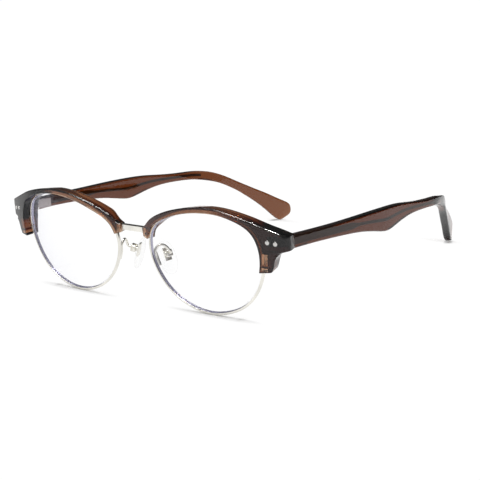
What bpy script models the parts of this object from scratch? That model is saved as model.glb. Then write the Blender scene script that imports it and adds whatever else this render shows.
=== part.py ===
"""Semi-rimless (browline) eyeglasses as an assembly of separate pieces.

Metres, +Z up. The front faces -Y and the temples run to +Y, standing on the rims and the temple tips.
+X is the wearer's left. Each half is worked out for the wearer's left and mirrored for the right.
Depths are counted from the middle of the rim wire, positive to the back.
"""
import math

import bmesh
import bpy
import numpy as np
from mathutils import Matrix, Vector

# Front surface: each half is a shallow dish, leaning back at the bottom and wrapping to the sides
FACE_RADIUS = 0.105
FACE_LEAN = math.radians(6.3)
FACE_WRAP = math.radians(2.77)

# Lenses, measured at the tip of the edge bevel
LENS_WIDTH = 0.0511
LENS_HEIGHT = 0.0368
LENS_GAP = 0.0168
LENS_THICKNESS = 0.0016
LENS_BEVEL = 0.00045
LENS_BEVEL_HALF = 0.0003
LENS_RING_SHARES = (0.15, 0.6)
TEMPLE_SIDE_SHARE = 0.75
LENS_OUTLINE_SHARES = (
    (-0.499, 0.067), (-0.460, 0.250), (-0.321, 0.383), (-0.102, 0.478), (0.096, 0.502), (0.309, 0.462),
    (0.454, 0.350), (0.502, 0.165), (0.482, -0.035), (0.426, -0.209), (0.312, -0.375), (0.175, -0.463),
    (-0.003, -0.501), (-0.180, -0.458), (-0.329, -0.353), (-0.451, -0.158),
)

# Rim wire, grooved on the inside, and the closing blocks at its split
RIM_OUTSIDE = 0.00065
RIM_INSIDE = 0.00045
RIM_DEPTH = 0.0017
RIM_ROUND = 0.00028
RIM_GROOVE_HALF = 0.0004
RIM_GROOVE_FLOOR = 0.00006
RIM_SPLIT = 0.0003
RIM_SPLIT_RISE = 0.0031
BLOCK_WIDTH = 0.0021
BLOCK_DEPTH = 0.0017
UPPER_BLOCK_LENGTH = 0.0030
LOWER_BLOCK_LENGTH = 0.0023
BLOCK_SCREW_RADIUS = 0.00045
BLOCK_SCREW_HEAD_RADIUS = 0.0008
BLOCK_SCREW_HEAD = 0.0004

# Brow pieces
BROW_LIP = 0.00095
BROW_END_LIP = 0.0029
BROW_BACK = 0.0033
BROW_FOOT_BACK = 0.0017
BROW_END_BACK = 0.0026
BROW_LEG_BACK = 0.0014
BROW_BAND = 0.00145
BROW_FRONT_BEVEL = 0.00055
BROW_END_BEVEL = 0.0022
BROW_END_BEVEL_SPREAD = 0.05
BROW_BACK_BEVEL = 0.0005
BROW_LIP_BEVEL = 0.0003
BROW_FOOT_RISE = 0.0059
BROW_LEG_DROP = 0.0001
BROW_LEG_LIFT = 0.0003
BROW_FOOT_REACH = 0.0040
BROW_FOOT_BOTTOM_REACH = 0.0026
BROW_END_REACH = 0.0108
BROW_END_LOW_REACH = 0.0099
BROW_LEG_REACH = 0.00435
BROW_FOOT_SHARE = 0.031
BROW_END_SHARE = 0.862
BROW_END_LOW_SHARE = 0.9025
BROW_FOOT_SHARES = ((0.031, 1.0), (0.043, 0.76), (0.086, 0.45), (0.159, 0.28), (0.231, 0.18), (0.316, 0.07))
BROW_END_SHARES = ((0.428, 0.015), (0.50, 0.02), (0.594, 0.025), (0.67, 0.04), (0.749, 0.117),
                   (0.809, 0.362), (0.845, 0.752), (0.862, 1.0))
BROW_COVER = 0.0004
BROW_COVER_SHARES = ((0.05, 0.0), (0.2, 1.0), (0.5, 1.0), (0.6, 0.5), (0.7, 0.25), (1.0, 0.25))
BROW_SWELL_SHARES = (0.50, 0.74)
BROW_FOOT_BACK_SHARES = (0.04, 0.12)
BROW_LEG_SHARES = ((0.9025, 1.0), (0.9068, 0.51), (0.919, 0.225), (0.936, 0.08), (0.963, 0.01), (1.0, 0.0))

# Bridge bar with a lug at each end, and the screws that hold the brow pieces to it
BRIDGE_HEIGHT = 0.0021
BRIDGE_THICKNESS = 0.0013
BRIDGE_RISE = 0.0086
LUG_DROP = 0.0013
LUG_INSET = 0.0002
LUG_GAP = 0.00025
BROW_SCREW_RADIUS = 0.0005
BROW_SCREW_HEAD_RADIUS = 0.00085
BROW_SCREW_HEAD = 0.0005
BROW_SCREW_BITE = 0.0006
BROW_SCREW_DROP = 0.0010

# Studs through the ends of the brow pieces
STUD_RADIUS = 0.00076
STUD_SHANK_RADIUS = 0.0005
STUD_HEAD = 0.0007
STUD_PROUD = 0.00012
STUD_EDGE = 0.0042
STUD_SPACING = 0.0026
STUD_RISE = 0.0002
STUD_INNER_RISE = 0.00055

# Hinges of three knuckles
KNUCKLE_RADIUS = 0.00125
KNUCKLE_HEIGHT = 0.00105
KNUCKLE_GAP = 0.0001
NECK_WIDTH = 0.0018
NECK_HEIGHT = 0.00095
NECK_SUNK = 0.0002
TEMPLE_NECK_FRONT = 0.0004
LEAF_THICKNESS = 0.0009
LEAF_HEIGHT = 0.0034
FRONT_LEAF_OUTWARD = 0.0044
FRONT_LEAF_INWARD = 0.0020
TEMPLE_LEAF_LENGTH = 0.0090
HINGE_SCREW_RADIUS = 0.0005
HINGE_SCREW_HEAD_RADIUS = 0.0009
HINGE_SCREW_HEAD = 0.0004
HINGE_OFFSET = 0.0002

# Temples
TEMPLE_LENGTH = 0.1320
TEMPLE_THICKNESS = 0.0038
TEMPLE_CORNER = 0.0009
TEMPLE_CORNER_SHARE = 0.45
TEMPLE_SLOPE = math.radians(3.0)
TEMPLE_INSET = 0.0002
TEMPLE_TURN = 0.0250
TEMPLE_MITRE_GAP = 0.00015
# Each row: run of the top edge, its height, run of the bottom edge, its height, turn inwards of the top
# and of the bottom edge, thickness. Runs are shares of the temple's length, heights of the hinge's height
# over the floor.
TEMPLE_SHARES = (
    (0.000, 1.066, 0.000, 0.905, 0.000, 0.000, 1.00),
    (0.075, 1.060, 0.075, 0.908, -0.034, -0.034, 1.00),
    (0.191, 1.050, 0.191, 0.886, -0.052, -0.052, 0.98),
    (0.303, 1.047, 0.303, 0.836, -0.044, -0.044, 0.96),
    (0.374, 1.044, 0.372, 0.772, -0.030, -0.030, 0.95),
    (0.410, 1.040, 0.408, 0.748, -0.018, -0.018, 0.95),
    (0.449, 1.034, 0.446, 0.772, 0.000, 0.000, 0.94),
    (0.525, 1.003, 0.525, 0.836, 0.036, 0.036, 0.92),
    (0.612, 0.957, 0.606, 0.842, 0.069, 0.077, 0.90),
    (0.680, 0.938, 0.675, 0.821, 0.109, 0.129, 0.88),
    (0.722, 0.917, 0.713, 0.793, 0.165, 0.201, 0.87),
    (0.756, 0.884, 0.746, 0.755, 0.241, 0.273, 0.86),
    (0.790, 0.818, 0.776, 0.706, 0.353, 0.337, 0.85),
    (0.821, 0.731, 0.804, 0.640, 0.465, 0.397, 0.84),
    (0.851, 0.644, 0.829, 0.564, 0.565, 0.473, 0.83),
    (0.883, 0.557, 0.853, 0.473, 0.649, 0.549, 0.82),
    (0.917, 0.470, 0.877, 0.376, 0.733, 0.625, 0.81),
    (0.948, 0.383, 0.902, 0.268, 0.813, 0.697, 0.80),
    (0.979, 0.296, 0.925, 0.153, 0.901, 0.765, 0.79),
    (0.998, 0.219, 0.947, 0.045, 0.957, 0.825, 0.76),
    (1.000, 0.118, 0.965, 0.000, 0.981, 0.869, 0.68),
    (0.993, 0.045, 0.978, 0.000, 0.973, 0.917, 0.45),
)

# Core wires: a flat strip that draws down to a round wire
CORE_FLAT = 0.0007
CORE_HEIGHT = 0.0024
CORE_WIRE = 0.0011
CORE_DEPTH_SHARE = 0.46
CORE_START_SHARE = 0.02
CORE_NECK_SHARES = (0.22, 0.26)
CORE_END_SHARE = 0.66

# Nose pads on their arms. An arm's leg lies along the rim's back; each row of its path's shares is out, back
# and up from the leg's top.
ARM_RADIUS = 0.0005
ARM_FOOT_DROP = 0.0046
ARM_LEG_TOP = 0.0010
ARM_RISE = 0.0015
ARM_BULGE = 0.0022
ARM_STRAIGHT = 0.0008
ARM_PATH_SHARES = ((0.04, 0.13, 0.62), (0.34, 0.39, 1.0), (0.62, 0.60, 0.65), (0.89, 0.79, -0.29))
PAD_BOX_DROP = 0.0015
PAD_BOX_OUT = 0.0004
PAD_BOX_BEHIND = 0.0066
PAD_BOX_SIZE = (0.0023, 0.0026, 0.0021)
PAD_BOX_SHARE = 0.65
PAD_SLOT_BASE = 0.00045
PAD_TAB_WIDTH = 0.0009
PAD_TAB_LENGTH = 0.0016
PAD_TAB_REACH = 0.0005
PAD_SCREW_RADIUS = 0.0004
PAD_SCREW_HEAD_RADIUS = 0.0008
PAD_SCREW_HEAD = 0.0004
PAD_LENGTH = 0.0126
PAD_WIDTH = 0.0068
PAD_THICKNESS = 0.0024
PAD_SQUARENESS = 2.3
PAD_FLARE = math.radians(20.0)
PAD_SPLAY = math.radians(25.0)
PAD_LOWERED = 0.0013
PAD_STANDOFF = 0.0014
PAD_PLATE = (0.0024, 0.0050, 0.0006)
PAD_PLATE_SUNK = 0.0003
# Each row: size share, height share of the half thickness, from the arm's side to the skin's side
PAD_RING_SHARES = ((0.84, -1.0), (0.97, -0.7), (1.0, -0.2), (0.96, 0.3), (0.80, 0.75), (0.45, 1.0))

# Clearances
SEAT_GAP = 0.00005
FIT_GAP = 0.0001
GROOVE_GAP = 0.00012
SCREW_GAP = 0.00005
OVERRUN = 0.001

# Mesh fineness
EYE_STEPS = 64
EYE_SAMPLES = 1440
TOP_STEPS = 30
FOOT_STEPS = 2
LUG_STEPS = 5
END_STEPS = 3
LEG_STEPS = 9
TEMPLE_STEPS = 40
CORE_STEPS = 20
ARM_LEG_STEPS = 4
ARM_STEPS = 24
ROUND_SIDES = 14
WIRE_SIDES = 8
PAD_SIDES = 20
SMOOTH_ANGLE = math.radians(32.0)

EYE_X = (LENS_GAP + LENS_WIDTH) / 2
EYE_Z = RIM_OUTSIDE + LENS_HEIGHT / 2


def clear_scene():
    """Remove the objects that the scene starts with."""
    for old in list(bpy.data.objects):
        bpy.data.objects.remove(old, do_unlink=True)


def material(name, colour, roughness, metallic=0.0, transmission=0.0, alpha=1.0):
    """A Principled material."""
    made = bpy.data.materials.new(name)
    made.use_nodes = True
    shader = made.node_tree.nodes["Principled BSDF"]
    shader.inputs["Base Color"].default_value = (*colour, 1.0)
    shader.inputs["Roughness"].default_value = roughness
    shader.inputs["Metallic"].default_value = metallic
    shader.inputs["Transmission Weight"].default_value = transmission
    shader.inputs["Alpha"].default_value = alpha
    made.diffuse_color = (*colour, alpha)
    return made


def spline(points, closed=False):
    """Cubic spline through the points over their chord lengths: (whole length, function of the length)."""
    p = np.asarray(points, float)
    if closed:
        p = np.vstack([p, p[:1]])
    knots = np.concatenate([[0.0], np.cumsum(np.linalg.norm(np.diff(p, axis=0), axis=1))])
    step = np.diff(knots)
    count = len(p)
    left = np.zeros((count, count))
    right = np.zeros_like(p)
    slope = np.diff(p, axis=0) / step[:, None]
    for i in range(1, count - 1):
        left[i, i - 1 : i + 2] = step[i - 1], 2 * (step[i - 1] + step[i]), step[i]
        right[i] = 6 * (slope[i] - slope[i - 1])
    left[0, 0] = 1
    left[-1, -1] = 1
    if closed:
        left[0, -1] = -1
        left[-1] = 0
        left[-1, :2] = 2 * step[0], step[0]
        left[-1, -2:] = step[-1], 2 * step[-1]
        right[-1] = 6 * (slope[0] - slope[-1])
    bend = np.linalg.solve(left, right)

    def at(length):
        """The spline's points at lengths along it."""
        length = np.atleast_1d(length)
        if closed:
            length = length % knots[-1]
        i = np.clip(np.searchsorted(knots, length, side="right") - 1, 0, count - 2)
        h = step[i][:, None]
        a = (knots[i + 1] - length)[:, None] / h
        b = 1 - a
        return a * p[i] + b * p[i + 1] + ((a**3 - a) * bend[i] + (b**3 - b) * bend[i + 1]) * h**2 / 6

    return knots[-1], at


def unit(vector):
    """The vector at length one."""
    vector = np.asarray(vector, float)
    return vector / np.linalg.norm(vector)


def face_depth(x, z):
    """Y of the front surface at (x, z): a dish about the lens centre, plus the lean and the wrap."""
    across = x - EYE_X
    up = z - EYE_Z
    return (across**2 + up**2) / (2 * FACE_RADIUS) - math.tan(FACE_LEAN) * up + math.tan(FACE_WRAP) * x


def face_normal(x, z):
    """Unit normal of the front surface, pointing to the back."""
    along_x = (x - EYE_X) / FACE_RADIUS + math.tan(FACE_WRAP)
    along_z = (z - EYE_Z) / FACE_RADIUS - math.tan(FACE_LEAN)
    normal = np.stack([-along_x, np.ones_like(along_x), -along_z], axis=-1)
    return normal / np.linalg.norm(normal, axis=-1, keepdims=True)


def place(flat, depth):
    """Points at (x, z) on the front surface, moved back along its normal by the depth."""
    flat = np.atleast_2d(flat)
    x, z = flat[:, 0], flat[:, 1]
    depth = np.broadcast_to(depth, x.shape)
    return np.stack([x, face_depth(x, z), z], axis=1) + face_normal(x, z) * depth[:, None]


def frame_at(flat, along=(1.0, 0.0)):
    """Axes on the front surface at (x, z): along it in the given flat direction, back, and across."""
    flat = np.asarray(flat, float)
    back = face_normal(*flat)
    ahead = np.array([along[0], 0.0, along[1]])
    ahead = unit(ahead - back * (ahead @ back))
    return np.array([ahead, back, np.cross(ahead, back)])


class EyeLine:
    """The lens outline, run by share of its length from the nose side over the top and round."""

    def __init__(self):
        size = np.array([LENS_WIDTH, LENS_HEIGHT])
        length, at = spline(np.array(LENS_OUTLINE_SHARES) * size, closed=True)
        line = at(np.linspace(0.0, length, EYE_SAMPLES, endpoint=False))
        low, high = line.min(axis=0), line.max(axis=0)
        line = (line - (low + high) / 2) * size / (high - low) + np.array([EYE_X, EYE_Z])
        gaps = np.linalg.norm(np.diff(np.vstack([line, line[:1]]), axis=0), axis=1)
        self.length = gaps.sum()
        self.share = np.concatenate([[0.0], np.cumsum(gaps)]) / self.length
        ahead = np.roll(line, -1, axis=0) - np.roll(line, 1, axis=0)
        ahead /= np.linalg.norm(ahead, axis=1, keepdims=True)
        self.line = np.vstack([line, line[:1]])
        self.ahead = np.vstack([ahead, ahead[:1]])

    def read(self, table, share):
        """Rows of a table along the outline, read at shares of it."""
        share = np.atleast_1d(share) % 1.0
        return np.stack([np.interp(share, self.share, table[:, k]) for k in range(2)], axis=1)

    def offset(self, share, reach):
        """Points at shares of the outline, moved outwards by the reach."""
        ahead = self.read(self.ahead, share)
        out = np.stack([-ahead[:, 1], ahead[:, 0]], axis=1)
        return self.read(self.line, share) + out * np.broadcast_to(reach, (len(out),))[:, None]

    def share_at(self, height, nasal):
        """The share at which the nose side or the temple side of the outline passes a height."""
        top = np.argmax(self.line[:, 1])
        stretch = slice(0, top) if nasal else slice(top, int(len(self.line) * TEMPLE_SIDE_SHARE))
        heights = self.line[stretch, 1]
        order = np.argsort(heights)
        return float(np.interp(height, heights[order], self.share[stretch][order]))


def build_mesh(name, points, faces):
    """A closed mesh with its faces pointing outwards and its round faces shaded smooth."""
    mesh = bpy.data.meshes.new(name)
    mesh.from_pydata([tuple(p) for p in np.asarray(points, float)], [], faces)
    work = bmesh.new()
    work.from_mesh(mesh)
    bmesh.ops.recalc_face_normals(work, faces=work.faces)
    work.to_mesh(mesh)
    work.free()
    mesh.shade_smooth()
    mesh.set_sharp_from_angle(angle=SMOOTH_ANGLE)
    return mesh


def skin(name, rings, loop=False):
    """A mesh over a row of like rings of points, closed by its end faces or joined end to end."""
    rings = np.asarray(rings, float)
    count, sides = rings.shape[:2]
    faces = []
    for i in range(count if loop else count - 1):
        here, there = i * sides, (i + 1) % count * sides
        for j in range(sides):
            k = (j + 1) % sides
            faces.append((here + j, here + k, there + k, there + j))
    if not loop:
        faces.append(tuple(range(sides)))
        faces.append(tuple(range((count - 1) * sides, count * sides)))
    return build_mesh(name, rings.reshape(-1, 3), faces)


def box_rings(centre, axes, size):
    """A box about a centre: two rings across its second axis."""
    half = np.asarray(size, float) / 2
    corners = ((-1, -1), (1, -1), (1, 1), (-1, 1))
    return [
        [centre + axes[0] * a * half[0] + axes[1] * side * half[1] + axes[2] * b * half[2] for a, b in corners]
        for side in (-1, 1)
    ]


def turned_rings(profile, base, axis, sides=ROUND_SIDES):
    """Rings of a turned shape: the profile's rows are (radius, distance along the axis)."""
    axis = unit(axis)
    across = unit(np.cross(axis, (0.0, 0.0, 1.0) if abs(axis[2]) < math.sqrt(0.5) else (1.0, 0.0, 0.0)))
    other = np.cross(axis, across)
    turn = np.arange(sides) * math.tau / sides
    circle = np.cos(turn)[:, None] * across + np.sin(turn)[:, None] * other
    return [np.asarray(base) + axis * along + circle * radius for radius, along in profile]


def tube_rings(path, radius, side, sides=WIRE_SIDES):
    """Rings of a round wire along a path. The side vector is never along the path."""
    path = np.asarray(path, float)
    ahead = np.gradient(path, axis=0)
    ahead /= np.linalg.norm(ahead, axis=1, keepdims=True)
    up = np.cross(ahead, side)
    up /= np.linalg.norm(up, axis=1, keepdims=True)
    over = np.cross(up, ahead)
    turn = np.arange(sides) * math.tau / sides
    circle = np.cos(turn)[None, :, None] * over[:, None] + np.sin(turn)[None, :, None] * up[:, None]
    return path[:, None] + circle * radius


class Side:
    """One half of the eyeglasses: makes its pieces, mirrored where it is the wearer's right."""

    def __init__(self, name, sign, root, finish):
        self.name = name
        self.flip = np.array([sign, 1.0, 1.0])
        self.root = root
        self.finish = finish

    def joint(self, name, place_at, axis):
        """An empty on a joint's axis, its own Z along the axis."""
        empty = bpy.data.objects.new(f"{name}_{self.name}", None)
        bpy.context.scene.collection.objects.link(empty)
        turn = Vector(np.asarray(axis) * self.flip).to_track_quat("Z", "Y").to_matrix().to_4x4()
        empty.matrix_world = Matrix.Translation(Vector(np.asarray(place_at) * self.flip)) @ turn
        empty.parent = self.root
        return empty

    def piece(self, name, rings, finish, parent=None, loop=False):
        """A named piece with its material."""
        mesh = skin(f"{name}_{self.name}", np.asarray(rings) * self.flip, loop)
        return self.add(mesh, finish, parent)

    def add(self, mesh, finish, parent=None):
        """Put a mesh in the scene under its parent, with its material."""
        made = bpy.data.objects.new(mesh.name, mesh)
        bpy.context.scene.collection.objects.link(made)
        mesh.materials.append(self.finish[finish])
        holder = parent or self.root
        made.parent = holder
        made.matrix_parent_inverse = holder.matrix_basis.inverted()
        return made

    def shape(self, target, name, rings, operation="DIFFERENCE"):
        """Cut a helper shape from a piece, or join it on."""
        mesh = skin(f"{target.name}_{name}", np.asarray(rings) * self.flip)
        tool = bpy.data.objects.new(mesh.name, mesh)
        bpy.context.scene.collection.objects.link(tool)
        tool.parent = target.parent
        tool.matrix_parent_inverse = target.matrix_parent_inverse.copy()
        tool.hide_render = True
        tool.display_type = "WIRE"
        change = target.modifiers.new(name, "BOOLEAN")
        change.operation = operation
        change.solver = "EXACT"
        change.object = tool


def box_in(centre, axes, low, high):
    """Rings of a box between two corners given along the axes."""
    low, high = np.asarray(low, float), np.asarray(high, float)
    middle = np.asarray(centre) + ((low + high) / 2) @ axes
    return box_rings(middle, axes, high - low)


def rim_columns(eye, split):
    """Rows of points along the corners of the rim wire's section, open at the split."""
    half = RIM_DEPTH / 2
    rise = RIM_ROUND * math.sqrt(2)
    section = [
        (-RIM_INSIDE, -half), (RIM_OUTSIDE - RIM_ROUND, -half), (RIM_OUTSIDE, -half + rise),
        (RIM_OUTSIDE, half - rise), (RIM_OUTSIDE - RIM_ROUND, half), (-RIM_INSIDE, half),
        (-RIM_INSIDE, RIM_GROOVE_HALF), (RIM_GROOVE_FLOOR, 0.0), (-RIM_INSIDE, -RIM_GROOVE_HALF),
    ]
    gap = RIM_SPLIT / 2 / eye.length
    shares = np.linspace(split + gap, split + 1 - gap, EYE_STEPS + 1)
    return np.stack([place(eye.offset(shares, reach), depth) for reach, depth in section], axis=1)


def make_lens(side, eye, split):
    """The lens, with a bevel round its edge that sits in the rim's groove."""
    shares = np.linspace(split, split + 1, EYE_STEPS, endpoint=False)
    half = LENS_THICKNESS / 2
    land = RIM_INSIDE + FIT_GAP
    middle = np.array([EYE_X, EYE_Z])
    edge = eye.offset(shares, -land)
    rows = [(middle + (edge - middle) * share, -half) for share in LENS_RING_SHARES]
    rows += [(edge, -half), (eye.offset(shares, -LENS_BEVEL), -LENS_BEVEL_HALF), (eye.offset(shares, 0.0), 0.0)]
    rows += [(eye.offset(shares, -LENS_BEVEL), LENS_BEVEL_HALF), (edge, half)]
    rows += [(middle + (edge - middle) * share, half) for share in reversed(LENS_RING_SHARES)]
    side.piece("lens", [place(flat, depth) for flat, depth in rows], "lens")


def brow_line(eye, first, last):
    """Stations of the brow piece: shares of the outline, and the outer edge's points there."""

    def outer(rows, low, high):
        """Points at the rows' shares, moved out from the low towards the high reach."""
        share = np.array([row[0] for row in rows])
        reach = np.array([low + row[1] * (high - low) for row in rows])
        return eye.offset(first + share * (last - first), reach)

    top_points = np.vstack([outer(BROW_FOOT_SHARES, BROW_BAND, BROW_FOOT_REACH),
                            outer(BROW_END_SHARES, BROW_BAND, BROW_END_REACH)])
    leg_points = outer(BROW_LEG_SHARES, BROW_LEG_REACH, BROW_END_LOW_REACH)
    leg_points[-1, 1] = eye.read(eye.line, last)[0, 1] + BROW_LEG_LIFT
    foot_bottom = eye.offset(first, BROW_FOOT_BOTTOM_REACH)[0]
    stretches = (
        (0.0, BROW_FOOT_SHARE, [foot_bottom, top_points[0]], FOOT_STEPS),
        (BROW_FOOT_SHARE, BROW_END_SHARE, top_points, TOP_STEPS),
        (BROW_END_SHARE, BROW_END_LOW_SHARE, [top_points[-1], leg_points[0]], END_STEPS),
        (BROW_END_LOW_SHARE, 1.0, leg_points, LEG_STEPS),
    )
    shares, points = [], []
    for start, stop, knots, steps in stretches:
        length, at = spline(knots)
        way = np.arange(steps) / steps
        line = at(way * length)
        points.append(line)
        shares.append(nearest_shares(eye, line, first + start * (last - first), first + stop * (last - first)))
    points.append(leg_points[-1:])
    shares.append([last])
    return np.concatenate(shares), np.concatenate(points)


def nearest_shares(eye, points, start, stop):
    """The shares between start and stop whose normals meet the points."""
    trial = np.linspace(start, stop, EYE_SAMPLES)
    line = eye.read(eye.line, trial)
    ahead = eye.read(eye.ahead, trial)
    miss = np.abs(np.einsum("ikj,kj->ik", points[:, None] - line[None], ahead))
    return trial[np.argmin(miss, axis=1)]


def brow_depths(way):
    """Front and back depths of the brow piece at its stations: it swells to its end, foot and leg are thinner."""
    swell, foot = (np.clip((way - start) / (stop - start), 0.0, 1.0)
                   for start, stop in (BROW_SWELL_SHARES, BROW_FOOT_BACK_SHARES))
    swell, foot = (share**2 * (3 - 2 * share) for share in (swell, foot))
    thin = np.clip((way - BROW_END_LOW_SHARE) / (1 - BROW_END_LOW_SHARE), 0.0, 1.0)
    lip = BROW_LIP + (BROW_END_LIP - BROW_LIP) * swell
    back = BROW_FOOT_BACK + (BROW_BACK - BROW_FOOT_BACK) * foot
    back = back + (BROW_END_BACK - BROW_BACK) * swell + (BROW_LEG_BACK - BROW_END_BACK) * thin
    return -RIM_DEPTH / 2 - lip, back


def make_brow(side, eye, first, last):
    """The brow piece: a bevelled bar over the rim, with a groove that takes the rim wire."""
    shares, outer = brow_line(eye, first, last)
    inner = eye.read(eye.line, shares)
    span = np.linalg.norm(outer - inner, axis=1, keepdims=True)
    across = (outer - inner) / span
    way = (shares - first) / (last - first)
    front, back = brow_depths(way)
    groove = RIM_DEPTH / 2 + GROOVE_GAP
    floor = RIM_OUTSIDE + GROOVE_GAP
    cover = BROW_COVER * np.interp(way, *np.transpose(BROW_COVER_SHARES))
    near = (
        (BROW_LIP_BEVEL - cover, front), (-cover, front + BROW_LIP_BEVEL), (-cover, -groove), (floor, -groove),
        (floor, groove), (0.0, groove), (0.0, back - BROW_LIP_BEVEL), (BROW_LIP_BEVEL, back),
    )
    beyond = np.maximum(BROW_END_SHARE - way, way - BROW_END_LOW_SHARE).clip(0.0) / BROW_END_BEVEL_SPREAD
    bevel = BROW_FRONT_BEVEL + (BROW_END_BEVEL - BROW_FRONT_BEVEL) * (1 - beyond).clip(0.0)
    far = ((BROW_BACK_BEVEL, back), (0.0, back - BROW_BACK_BEVEL), (0.0, front + bevel), (bevel, front))
    columns = [place(inner + across * np.broadcast_to(reach, way.shape)[:, None], depth) for reach, depth in near]
    columns += [place(outer - across * np.broadcast_to(reach, way.shape)[:, None], depth) for reach, depth in far]
    return side.piece("brow", np.stack(columns, axis=1), "acetate")


def make_closing(side, eye, split, brow):
    """The two closing blocks at the rim's split, their screw, and their pocket in the brow piece."""
    flat = eye.read(eye.line, split)[0]
    ahead = eye.read(eye.ahead, split)[0]
    axes = frame_at(flat, (-ahead[1], ahead[0]))
    if axes[2] @ np.array([ahead[0], 0.0, ahead[1]]) < 0:
        axes[2] = -axes[2]
    centre = place(flat, 0.0)[0]
    inner = RIM_OUTSIDE + SEAT_GAP
    outer = inner + BLOCK_WIDTH
    half = BLOCK_DEPTH / 2
    gap = RIM_SPLIT / 2
    upper = side.piece("closing_block_upper",
                       box_in(centre, axes, (inner, -half, -UPPER_BLOCK_LENGTH), (outer, half, -gap)), "metal")
    lower = side.piece("closing_block_lower",
                       box_in(centre, axes, (inner, -half, gap), (outer, half, LOWER_BLOCK_LENGTH)), "metal")
    head = centre + axes[0] * (inner + outer) / 2 - axes[2] * (UPPER_BLOCK_LENGTH + SEAT_GAP + BLOCK_SCREW_HEAD)
    length = BLOCK_SCREW_HEAD + SEAT_GAP + UPPER_BLOCK_LENGTH + LOWER_BLOCK_LENGTH
    profile = [(BLOCK_SCREW_HEAD_RADIUS, 0.0), (BLOCK_SCREW_HEAD_RADIUS, BLOCK_SCREW_HEAD),
               (BLOCK_SCREW_RADIUS, BLOCK_SCREW_HEAD), (BLOCK_SCREW_RADIUS, length)]
    side.piece("closing_screw", turned_rings(profile, head, axes[2]), "metal")
    bore = [(BLOCK_SCREW_RADIUS + SCREW_GAP, 0.0), (BLOCK_SCREW_RADIUS + SCREW_GAP, length + OVERRUN)]
    for block in (upper, lower):
        side.shape(block, "bore", turned_rings(bore, head, axes[2]))
    low = (0.0, -half - FIT_GAP, -UPPER_BLOCK_LENGTH - BLOCK_SCREW_HEAD - SEAT_GAP - FIT_GAP)
    high = (outer + FIT_GAP, half + FIT_GAP, LOWER_BLOCK_LENGTH + FIT_GAP)
    side.shape(brow, "block_pocket", box_in(centre, axes, low, high))


def bridge_planes(eye, first):
    """Front and back planes of the bridge, its middle height and the lug's inner edge."""
    height = EYE_Z + BRIDGE_RISE
    edge = eye.offset(first, BROW_FOOT_BOTTOM_REACH)[0]
    inner = edge[0] + LUG_INSET
    front = place((edge[0], height), -RIM_DEPTH / 2)[0][1]
    return front, front + BRIDGE_THICKNESS, height, inner


def make_bridge(root, finish, eye, first):
    """The bridge bar and its lugs in one piece, cut from flat stock."""
    front, back, height, inner = bridge_planes(eye, first)
    top = height + BRIDGE_HEIGHT / 2
    bottom = height - BRIDGE_HEIGHT / 2
    low = bottom - LUG_DROP
    heights = np.linspace(top, low, LUG_STEPS)
    shares = np.array([eye.share_at(z, nasal=True) for z in heights])
    ends = eye.offset(shares, RIM_OUTSIDE + LUG_GAP)
    ends[0, 1], ends[-1, 1] = top, low
    half = [*map(tuple, ends), (inner, low), (inner, bottom)]
    outline = half + [(-x, z) for x, z in reversed(half)]
    rings = [[(x, y, z) for x, z in outline] for y in (front, back)]
    whole = Side("bar", 1.0, root, finish)
    mesh = skin("bridge", rings)
    return whole, whole.add(mesh, "metal")


def make_brow_screw(side, eye, first, brow, bridge, whole):
    """The screw that holds the brow piece to the bridge lug, driven from the back."""
    front, back, height, inner = bridge_planes(eye, first)
    low = height - BRIDGE_HEIGHT / 2 - LUG_DROP
    rim_x = eye.offset(eye.share_at(height - BROW_SCREW_DROP, nasal=True), RIM_OUTSIDE)[0][0]
    spot = ((inner + rim_x) / 2, height - BROW_SCREW_DROP)
    behind = place(spot, BROW_FOOT_BACK)[0]
    length = behind[1] - front + BROW_SCREW_BITE
    start = np.array([spot[0], behind[1], spot[1]])
    forward = (0.0, -1.0, 0.0)
    profile = [(BROW_SCREW_HEAD_RADIUS, 0.0), (BROW_SCREW_HEAD_RADIUS, BROW_SCREW_HEAD),
               (BROW_SCREW_RADIUS, BROW_SCREW_HEAD), (BROW_SCREW_RADIUS, length)]
    side.piece("brow_screw", turned_rings(profile, start, forward), "metal")
    hole = [(BROW_SCREW_HEAD_RADIUS + SCREW_GAP, -OVERRUN),
            (BROW_SCREW_HEAD_RADIUS + SCREW_GAP, BROW_SCREW_HEAD + SEAT_GAP),
            (BROW_SCREW_RADIUS + SCREW_GAP, BROW_SCREW_HEAD + SEAT_GAP),
            (BROW_SCREW_RADIUS + SCREW_GAP, length + SEAT_GAP)]
    hole = turned_rings(hole, start, forward)
    top = height + BRIDGE_HEIGHT / 2
    far_x = eye.offset(eye.share_at(top, nasal=True), RIM_OUTSIDE + FIT_GAP)[0][0]
    slot_low = (0.0, front - FIT_GAP, low - OVERRUN)
    slot_high = (far_x, back + FIT_GAP, top + FIT_GAP)
    side.shape(brow, "lug_slot", box_in(np.zeros(3), np.eye(3), slot_low, slot_high))
    side.shape(brow, "screw_hole", hole)
    whole.shape(bridge, f"hole_{side.name}", np.asarray(hole) * side.flip)


def end_corner(eye, first, last):
    """The outer top and bottom corners of the brow piece's end, as (x, z)."""
    top = eye.offset(first + BROW_END_SHARE * (last - first), BROW_END_REACH)[0]
    bottom = eye.offset(first + BROW_END_LOW_SHARE * (last - first), BROW_END_LOW_REACH)[0]
    return top, bottom


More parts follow.
